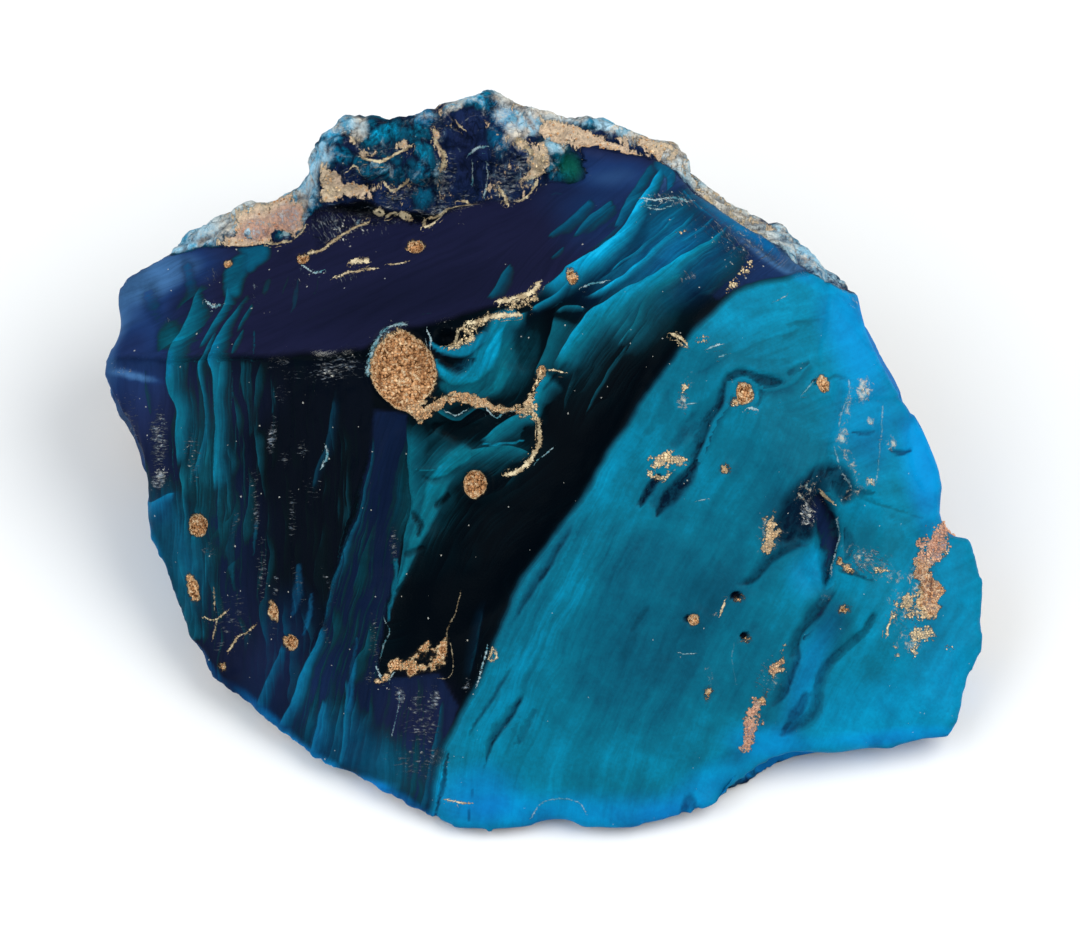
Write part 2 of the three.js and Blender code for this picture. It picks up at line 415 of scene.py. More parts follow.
# Soft patches, and how each shifts ink, blue, teal and azure there.
tonePatches = [
    # left tip and left edge, blue-violet glass
    ((-36, 14), (5, 6), dict(ink=0.42, blue=0.85)), ((14, 19), (3.4, 2.2), dict(teal=-0.14), 38),
    ((-34.7, 14.5), (0.8, 1.6), dict(teal=0.22, azure=0.3)), ((-33.2, 12), (1.1, 1.4), dict(teal=0.26)),
    ((-31.4, 17), (0.6, 1.8), dict(teal=0.14, azure=0.2), 10),
    ((-36.6, 11), (1.6, 1.4), dict(ink=-0.3, blue=-0.3)),
    ((-32, 14.6), (1.4, 2.4), dict(ink=-0.3, blue=-0.3), -10),
    ((-38.4, 12.6), (1.2, 3), dict(blue=0.5, azure=0.5, teal=0.05), -10),
    ((-37.2, 15), (1.8, 3.4), dict(teal=0.2, azure=0.8, blue=0.4), -20),
    ((-33, 17.6), (4.4, 1.8), dict(ink=0.35, blue=1.1, teal=0.16, azure=0.4), 20),
    ((-38.8, 8), (1.2, 2.6), dict(blue=0.5, ink=0.3)),
    ((-36, 8.3), (1.8, 0.35), dict(blue=0.8, ink=0.3), -8), ((-31, 6.4), (5.6, 3), dict(ink=0.4)),
    ((-37, 7), (3.5, 4), dict(ink=0.3, blue=0.1)), ((-35, 1), (2.4, 6), dict(ink=0.45, blue=0.1), 8),
    ((-29, -1), (3.2, 6), dict(ink=0.2, blue=0.4, teal=0.1)),
    ((-29, -9), (4, 6), dict(ink=0.22, blue=0.4, teal=0.1), -25),
    ((-26, -16), (4.5, 4.5), dict(ink=0.3), -30),
    ((-22, -19), (4, 4), dict(ink=0.25, blue=0.2, teal=0.04), -30),
    # top face
    ((5, 26.8), (6, 1.4), dict(ink=0.35, blue=0.75), -8),
    ((6, 22.6), (4, 2.8), dict(ink=0.1, blue=0.7), 40),
    ((3, 24.4), (3, 2), dict(teal=0.06, azure=0.3, blue=0.3), 10), ((-12, 15), (10, 2), dict(ink=-0.2), 12),
    # dull teal between the folds
    ((-6.4, 7.6), (2.8, 1.8), dict(teal=0.3), 10), ((-4, 11), (1.4, 3), dict(teal=0.2), -10),
    ((-2.2, 10.2), (1.8, 3.6), dict(teal=0.34), -12), ((9.8, 14.6), (2.8, 3.6), dict(teal=0.3), -38),
    ((4.8, 10.4), (2, 4.4), dict(teal=0.16), -30), ((-5, 1), (4.4, 1.6), dict(teal=0.24), 12),
    ((-9.8, -1.8), (2.4, 5.6), dict(teal=0.28), -14), ((9, 20), (3, 6), dict(teal=0.22, azure=0.3), -47),
    ((13.4, 18.6), (4.6, 2.8), dict(teal=0.2, azure=0.4), 35),
    # left face
    ((-31, 8), (3, 8), dict(teal=0.12), 4), ((-29.6, 0), (2.6, 6), dict(teal=0.1)),
    ((-32.6, -7), (2.2, 6), dict(teal=0.3, azure=0.2), 22),
    ((-24, -18), (3, 6), dict(teal=0.06, azure=0.3), -20),
    # shoulder
    ((15, 19), (4, 2.4), dict(ink=-0.2, blue=-0.1, teal=0.16), -30),
    ((14, 15.4), (2.6, 1.6), dict(ink=-0.5)),
    ((17.6, 22.2), (4.4, 1.2), dict(ink=0.3, blue=0.8, azure=0.5, teal=0.34), -40),
    ((21.4, 18.7), (3.4, 0.7), dict(blue=0.8, azure=0.5, teal=0.2), -36),
    ((19.4, 20.6), (4, 1.1), dict(ink=0.3, blue=1.3), -38),
    # foot of the fan
    ((-11, -22), (3.2, 3), dict(ink=0.35, blue=-0.5)),
    ((-12, -27), (4, 2.4), dict(ink=0.35, blue=0.3, teal=0.16), -20),
    # azure along the lower and left edges: painted glow where light shines through the thin glass
    ((-17, -25), (5, 3), dict(teal=0.14, azure=0.25), -25),
    ((-24.4, -22), (3.6, 0.5), dict(teal=0.3, azure=0.7), -40),
    ((-19.6, -26), (3.4, 0.5), dict(teal=0.35, azure=0.75), -36),
    ((-16, -27.8), (2.4, 0.5), dict(teal=0.4, azure=0.7), -10),
    ((-12, -29.6), (3, 0.4), dict(teal=0.2, azure=0.8), -30),
    ((-30, -17), (2.6, 0.4), dict(teal=0.2, azure=0.7), -50),
    ((-34.3, -8), (0.5, 3.6), dict(teal=0.3, azure=0.8), 20),
    ((25.4, -5.4), (1.2, 3.2), dict(ink=0.7, blue=0.8), 5),
    ((24.4, -13), (2.6, 6), dict(ink=0.5, blue=0.9), -25),
    ((28, -14), (2.6, 6), dict(ink=0.5, blue=0.9), -25), ((16, 4), (3, 6), dict(ink=0.3, blue=1), -25),
    # bright face: deeper low in the middle, clear blue round the edge, partly painted as a glow where light
    # shines through the thin glass
    ((10, -13), (6, 9), dict(teal=-0.16), -20), ((3, -20), (4, 7), dict(teal=-0.08), -25),
    ((17, -15), (5, 8), dict(teal=-0.1), -10), ((-4.4, -21), (1.6, 8), dict(teal=0.06), -20),
    ((0.6, -12), (1.4, 7), dict(teal=0.05), -28), ((21, 2), (4.5, 5.5), dict(teal=-0.06)),
    ((20, 13.6), (6, 2.2), dict(teal=0.06), 12), ((28, 12.6), (2.4, 4.6), dict(azure=0.62, teal=0.08), 15),
    ((29.5, 4.6), (3.2, 4.4), dict(azure=0.3, teal=0.02)),
    ((34.4, 0.8), (1.8, 5.2), dict(azure=0.8, teal=0.1), 5),
    ((23.8, -18.4), (1.2, 5), dict(azure=0.3, teal=0.06), -22),
    ((20.6, -24.6), (3.4, 1.4), dict(azure=0.5, teal=0.05), -10),
    ((28.4, -22.6), (5, 3.4), dict(teal=0.06, azure=0.12)),
    ((36.6, -14), (3.2, 9), dict(azure=0.12, teal=0.02), 6),
    ((33, -24), (7, 0.7), dict(azure=0.5, teal=0.06), 3),
    ((14, -29), (6, 1.6), dict(azure=0.4, teal=0.05), 30),
    ((4, -30.6), (9, 1.6), dict(azure=0.5, teal=0.04)),
    ((-5.5, -29.4), (3.4, 2.4), dict(azure=0.5, teal=0.06)),
    ((28.4, -6.4), (2.6, 2.4), dict(teal=-0.1), -20), ((29.4, -3.6), (2.6, 1.4), dict(teal=0.06), -10),
    ((22.4, -4.4), (2.4, 2.6), dict(teal=-0.26), -40), ((24.6, -3.4), (1.6, 1.6), dict(teal=-0.24)),
    ((24, -9), (1.6, 2), dict(azure=0.2, teal=0.04), -20), ((1, -9.6), (0.9, 6), dict(teal=-0.12), -28),
    ((-3.6, -17.6), (0.8, 5), dict(teal=-0.1), -22), ((14, 9), (3, 2), dict(teal=-0.06), 30),
    ((26, -13.4), (1.8, 2), dict(teal=-0.2), -30), ((35, -20), (4, 3), dict(teal=0.06, azure=0.1), 10),
    ((15.6, -9), (2.6, 3), dict(teal=-0.05), -20), ((6, -28), (4, 1.6), dict(teal=-0.09)),
]

# Folds of teal glass: line, half-widths along it, strength, lean (left of the run +, right -) and azure.
folds = [
    # the sheaf that sweeps down from the shoulder
    ([(11, 27.2), (10.2, 26.2), (9.2, 24.4), (8.2, 22.6), (6.8, 20.9), (5.4, 19.6), (4, 18.6), (2.8, 17.8),
      (1.6, 17), (0.4, 16.3), (-0.3, 15.7)], (1, 1.8, 2.7, 2.8, 1.8), 0.92, 1, 0.2),
    ([(10.6, 27), (11.6, 26), (11.4, 24.8)], (0.9, 0.9, 0.3), 0.4, 0, 0.5),
    ([(2.8, 17.1), (1.7, 16.1), (0.8, 15.5), (-0.2, 14.9), (-0.9, 14.3)], (0.9, 1.2, 1.2, 0.8), 0.8, 1,
     0.2),
    ([(12.4, 22.6), (11, 21.2), (9.6, 20), (8.2, 18.9), (7, 18.2), (6, 17.3)], (0.4, 0.8, 0.9, 0.6, 0.3),
     0.7, 1, 0.2),
    ([(14, 23), (12.6, 21.6), (11.4, 20.6), (10, 19.3), (8.6, 18), (7.2, 16.9), (6, 16.3), (5, 15.8),
      (4, 15.3)], (0.4, 1, 1.5, 1.5, 1.2, 0.5), 0.86, 1, 0.2),
    ([(15.6, 22.6), (14, 21.2), (12.4, 20)], (0.3, 0.8, 0.5), 0.66, 1, 0.3),
    ([(17, 22), (15.2, 20.4), (13.6, 19.3), (12, 18.4), (10, 17.2), (8, 16.1), (6, 15), (4.8, 14.5),
      (4, 13.9), (3, 12.6), (2.2, 11.2), (1.5, 9.9), (0.8, 8.8)],
     (0.5, 1.2, 2.4, 4.2, 5.2, 5.2, 4.8, 4.2, 3), 0.84, 1, 0.06),
    ([(0.8, 8.8), (0, 7.9), (-0.5, 6.9), (-0.8, 6), (-0.6, 5), (0, 4.3)], (3.2, 2.8, 2.4, 1.8, 1), 0.82, 1,
     0.03),
    ([(13, 17.4), (11.6, 16.9), (10.2, 16), (9.2, 14.8), (8.4, 13.3), (7.6, 11.9), (6.8, 10.8)],
     (0.7, 1.8, 2.2, 1.9, 1.6, 0.6), 0.62, 1, 0),
    ([(11.6, 18.2), (10.4, 17), (9.6, 16)], (0.3, 0.5, 0.3), 0.6, 1, 0.1),
    ([(8, 11.4), (7.2, 10.2), (6.4, 9.1), (5.7, 7.9), (5, 6.5), (4.2, 4.7)], (0.4, 0.7, 0.6, 0.4, 0.2),
     0.42, 1, 0),
    ([(3.4, 9.4), (2.8, 7.8), (2.4, 6.4), (2.2, 5)], (0.7, 1, 0.8, 0.3), 0.28, 1, 0),
    ([(1, 13.6), (0.7, 12), (0.2, 10.5), (-0.3, 9.4), (-0.7, 8.4)], (4.6, 4.6, 4.2, 2.6), 0.52, 1, 0),
    ([(1.1, 13.9), (1.8, 14.5), (3, 14.6), (4, 14.4)], (0.5, 1, 1, 0.6), 0.6, -1, 0.06),
    ([(12.4, 25), (14.6, 23.2), (17.4, 21.2), (20.4, 19.2)], (0.5, 0.8, 0.8, 0.4), 0.5, -1, 0.6),
    ([(14.8, 21.8), (16.8, 20.2), (18.6, 19)], (0.4, 0.6, 0.3), 0.42, -1, 0.5),
    # curtains left of the middle
    ([(-1.2, 14.2), (-2.4, 13.8), (-3.4, 13.3), (-4.1, 12.6), (-4.5, 11.6), (-4.6, 10.6)],
     (1.8, 3, 3.4, 3.2, 2), 0.68, 1, 0.1),
    ([(-2.6, 13.9), (-3.4, 13.5), (-4, 12.7), (-4.3, 11.6), (-4.6, 10.5), (-5.3, 9.5), (-6.1, 8.7),
      (-6.9, 8.3), (-7.8, 8.1), (-8.6, 8.5), (-9.2, 9.3)], (0.6, 0.9, 1.2, 1.6, 1.5, 1, 0.4), 0.74, 0,
     0.08),
    ([(-9.6, 11.1), (-8.8, 10.6), (-8, 10.35), (-7.1, 10.4), (-6, 11), (-5, 11.7)],
     (0.25, 0.5, 0.6, 0.6, 0.6), 0.66, 0, 0.16),
    ([(-9.3, 8.8), (-8.8, 7.9), (-8.6, 7.2), (-8.5, 6.6)], (0.6, 1, 1.2, 1), 0.6, 1, 0.04),
    ([(-5, 10.8), (-5.8, 9.9), (-6.6, 9.3), (-7.4, 9.1)], (0.6, 0.7, 0.6, 0.3), 0.4, 0, 0.1),
    ([(-8.6, 7.4), (-7.4, 7), (-6, 7.1), (-4.4, 7.6), (-3.4, 8.6)], (0.7, 1.3, 1.6, 1.6, 1), 0.5, 0, 0),
    ([(-9.7, 5.9), (-9.2, 5), (-8.4, 4.4), (-7.4, 4.2), (-6.4, 4.8), (-5.6, 5.3), (-4.8, 5)],
     (0.5, 0.9, 1, 0.9, 0.7, 0.3), 0.56, 1, 0),
    ([(-5.5, 2.5), (-4.2, 3.5), (-2.8, 4.4), (-1.6, 5), (-0.7, 4.7), (-0.2, 4)], (1.6, 2.4, 3, 2.8, 1.6),
     0.72, -1, 0.02),
    ([(-5.2, 2.25), (-4, 2.1), (-2.6, 2.2), (-1.4, 2.5)], (0.12, 0.2, 0.16, 0.1), 0.7, 0, 0.06),
    ([(-8.8, 0.8), (-7, 1.5), (-5.4, 1.9), (-3.6, 2), (-2, 1.8), (-0.7, 1.3)], (2.4, 3, 3, 2.6, 1.4), 0.58,
     -1, 0),
    ([(-11.6, 2), (-10, 1.2), (-8.2, 1.4)], (0.8, 1.2, 0.8), 0.3, -1, 0),
    # the tapering tail below them
    ([(-12.1, 4.4), (-12, 1.6), (-11.9, -1.4), (-11.9, -4), (-12.3, -7), (-13, -10), (-13.4, -13)],
     (2.4, 3.2, 4.2, 3.6, 2.2, 1, 0.3), 0.5, 1, 0.03),
    ([(-7, 1.2), (-8.3, 0.2), (-9.4, -1.6), (-10, -3.4), (-10.9, -5.6), (-11.9, -8), (-12.8, -10.4)],
     (1.3, 1.5, 1.4, 1.2, 0.9, 0.5, 0.2), 0.58, 0, 0),
    ([(-11.8, 0.2), (-10, -0.1), (-8.4, -0.2)], (0.12, 0.14, 0.1), 0.6, 0, 0),
    # small feathers on the top face
    ([(4.6, 24.2), (3.5, 23), (2.1, 21.7), (0.7, 20.6)], (1.6, 2.4, 2, 0.6), 0.46, 1, 0.4),
    ([(6.6, 24), (5.2, 22.9), (4, 21.8), (3, 20.4)], (1.6, 2.4, 1.8, 0.6), 0.5, 1, 0.35),
    ([(9.9, 27.3), (8.6, 25.4), (7.6, 23.4), (6.5, 21.3)], (1.4, 1.8, 1.8, 0.6), 0.5, 1, 0.4),
    ([(-2.3, 18), (-3.3, 17), (-4, 15.8), (-4.7, 15)], (1.2, 2.4, 2, 0.6), 0.46, 1, 0.3),
    ([(2.2, 19.6), (1.5, 19), (0.9, 18.4)], (0.8, 1.2, 0.6), 0.4, 1, 0.4),
    ([(2.4, 24.5), (1.6, 24.5), (0.9, 24.1)], (0.4, 0.6, 0.3), 0.28, 1, 0.4),
    ([(-15.8, 16.6), (-18.6, 14.6), (-21.4, 12.4), (-24.4, 10)], (0.4, 0.9, 0.9, 0.5), 0.17, 1, 0.8),
    ([(-22.4, 17.4), (-22.8, 16.2), (-23.2, 15.2)], (0.3, 0.6, 0.2), 0.26, 1, 0.2),
    ([(-21.6, 16.8), (-21.9, 15.2), (-22.2, 13.8)], (0.2, 0.4, 0.2), 0.22, 0, 0.5),
    ([(-24.2, 16.6), (-24.6, 15.6)], (0.4, 0.3), 0.2, 0, 0.2),
    ([(-20, 16.6), (-20.2, 15.4)], (0.3, 0.2), 0.2, 0, 0.3),
    ([(-5, 21), (-4.8, 18), (-5.2, 15)], (0.5, 0.7, 0.3), 0.1, 0, 0.75),
    ([(-9.2, 13.6), (-10.2, 13.4), (-11, 13.1)], (0.2, 0.25, 0.1), 0.3, -1, 0.7),
    # bands on the left face, bent where it meets the top face
    ([(-30.3, 16.2), (-30.9, 15), (-31.3, 13.8), (-31.8, 12.6), (-32.5, 11.5), (-33.1, 10.3), (-33.4, 9.3),
      (-33.5, 8), (-33.3, 6.8), (-32.6, 5.6), (-32.4, 4), (-32.4, 2), (-32.2, -0.4)],
     (1, 2.2, 2.6, 3, 3.2, 3, 2.4, 2, 1.2), 0.62, 1, 0.14),
    ([(-32.9, 10.6), (-33.3, 9.4), (-33.4, 8.2)], (0.6, 0.9, 0.5), 0.72, 1, 0.4),
    ([(-27.9, 16.4), (-28.1, 14.8), (-28.9, 13.2), (-29.7, 11.8), (-30.3, 10.7)], (0.6, 1.1, 1.2, 1, 0.6),
     0.62, 1, 0.2),
    ([(-28.6, 12.6), (-29.4, 11), (-30, 9.9), (-30.5, 9.2), (-30.4, 7.8), (-30.1, 6), (-30.1, 4),
      (-30.4, 1.6), (-30.8, -1.4)], (0.6, 0.7, 0.8, 0.8, 0.8, 0.8, 0.6), 0.56, 1, 0.2),
    ([(-26.3, 15.2), (-27.4, 13.6), (-28.4, 12), (-29.1, 10.6), (-29.5, 9.6), (-29.3, 8.2), (-29.2, 6),
      (-29.1, 3), (-29, 0), (-28.9, -2.6)], (0.6, 1.2, 2.2, 2.6, 2.6, 2.6, 2.6, 2.8, 1.6), 0.6, 1, 0.16),
    ([(-28.4, 12), (-29.1, 10.6), (-29.5, 9.6), (-29.4, 8.6)], (0.5, 0.8, 0.9, 0.4), 0.72, 1, 0.35),
    ([(-25.8, 14.6), (-26.4, 13.2), (-26.8, 12)], (0.5, 0.9, 0.5), 0.5, 1, 0.1),
    ([(-26.2, 12.2), (-27, 11), (-27.5, 10)], (0.5, 0.9, 0.4), 0.46, 1, 0.1),
    ([(-25.2, 12), (-25.3, 10.2)], (0.12, 0.1), 0.3, 0, 0.4),
    ([(-26.6, 9.6), (-26.5, 7.6), (-26, 5), (-25.9, 2.4)], (2, 2.2, 1.6, 0.6), 0.24, 1, 0.1),
    ([(-35.2, 9.2), (-35.3, 8), (-35.1, 6.4), (-34.8, 4.6)], (0.7, 1.3, 1.2, 0.5), 0.3, 1, 0.3),
    ([(-26, 20.2), (-25.5, 19.2), (-26, 18)], (1.7, 1.7, 0.9), 0.46, 0, 0.3),
    ([(-26.6, 18.4), (-27.2, 17.2), (-27.5, 16)], (1.3, 1.4, 1.1), 0.42, 0, 0.2),
    ([(-18.1, 6.4), (-18.5, 4.2), (-19.3, 1.8), (-20, 0.2), (-20.1, -1.8)], (0.8, 1.2, 1.2, 1, 0.4), 0.27,
     1, 0.4),
    ([(-31.2, 9), (-31.3, 7), (-31.1, 4.6), (-31.2, 2), (-31.4, -1)], (0.15, 0.35, 0.4, 0.35, 0.15), 0.4, 1,
     0.1),
    ([(-28.6, 8.8), (-28.3, 6), (-28, 3), (-27.9, -0.6)], (0.2, 0.4, 0.5, 0.2), 0.42, 1, 0.1),
    ([(-27.4, 9), (-27.3, 6.6), (-27.5, 4)], (0.15, 0.3, 0.1), 0.34, 1, 0.1),
    ([(-32.8, 3), (-32.6, 0), (-32.2, -2.4)], (0.1, 0.25, 0.1), 0.4, 1, 0.2),
    ([(-29.8, -2), (-29.8, -5), (-29.2, -8)], (0.3, 0.5, 0.2), 0.3, 1, 0.1),
    ([(-27.6, -2), (-27.6, -5), (-27.2, -9)], (0.3, 0.6, 0.2), 0.26, 1, 0.1),
    ([(-23.9, 8.4), (-24, 6.4), (-24.2, 4.4)], (0.2, 0.5, 0.2), 0.18, 1, 0.3),
    ([(-27, -4), (-27.3, -7), (-27, -10.8)], (0.3, 0.5, 0.2), 0.24, 0, 0.2),
    ([(-25.2, -5), (-25.4, -8)], (0.25, 0.12), 0.26, 0, 0.3),
    ([(-32.2, -2.6), (-31.6, -6), (-30.8, -9), (-29.6, -12)], (2.4, 3, 2.8, 1.6), 0.32, 1, 0.1),
    # painted light: the corner on the left edge, painted bright where the light catches it
    ([(-35.8, -2.7), (-34.4, -2.7), (-33.2, -2.3), (-32.4, -2.3)], (4.6, 4.2, 2.2, 1), 0.62, -1, 0.5),
    ([(-33.6, -6), (-32.8, -8.8), (-31.6, -11.8), (-30.6, -14.6)], (1.4, 1.6, 1.2, 0.8), 0.3, 0, 0.1),
    # fan
    ([(-15, 3.6), (-15.2, 0), (-15.5, -2), (-16, -4), (-16.8, -6.2), (-17.6, -8.2), (-18.4, -10.2),
      (-19, -12.2), (-19.6, -14.4)], (0.4, 0.6, 0.7, 0.8, 0.8, 0.9), 0.36, 1, 0.5),
    ([(-19.4, -13.6), (-20.1, -16), (-21, -18.2), (-22.1, -20.6), (-23.6, -23.2)], (0.8, 1.3, 1.6, 1.9, 2),
     0.6, 1, 0.45),
    ([(-22.8, -15.6), (-23.6, -17.8), (-24.6, -19.8), (-25.4, -21.6)], (0.9, 1.4, 1.7, 1.9), 0.46, 1, 0.36),
    ([(-19.1, -20.4), (-19.7, -22.4), (-20.2, -24.2), (-20.7, -25.8)], (0.6, 1.4, 1.8, 1.9), 0.56, 1, 0.6),
    ([(-17.1, -18.6), (-17.3, -21.6), (-17.7, -24), (-18, -26.8)], (0.6, 1.5, 2.2, 2.4), 0.46, 1, 0.4),
    ([(-16.2, -15), (-16.5, -18), (-16.9, -21.6)], (0.25, 0.4, 0.3), 0.26, 0, 0.8),
    ([(-18.2, -18), (-18.6, -20.6), (-19, -22.4)], (0.3, 0.6, 0.4), 0.24, 1, 0.6),
    ([(-20.3, -11.2), (-20.6, -13), (-21, -14.6)], (0.15, 0.3, 0.15), 0.3, 0, 0.6),
    ([(-21.1, -8.8), (-21.3, -10.6), (-21.9, -13)], (0.3, 0.5, 0.2), 0.24, 0, 0.7),
    ([(-14.2, 4.4), (-14.4, -2), (-15.2, -8), (-16, -13)], (0.7, 0.9, 0.8, 0.4), 0.17, 1, 0.5),
    ([(-13, 3), (-13.1, -2), (-13.6, -7), (-14.4, -12)], (0.6, 0.8, 0.7, 0.3), 0.15, 1, 0.5),
    ([(-13, -8), (-13, -11), (-13.4, -13.6)], (0.25, 0.3, 0.15), 0.5, 0, 0.1),
    ([(-8.6, -20), (-9.2, -24), (-10.4, -29), (-10.8, -31)], (0.5, 1.2, 1.6, 1.4), 0.42, 1, 0.4),
    ([(-4.9, -12.6), (-5.6, -15.4), (-6.4, -18.6)], (0.8, 1.2, 0.8), 0.2, -1, 0.3),
]
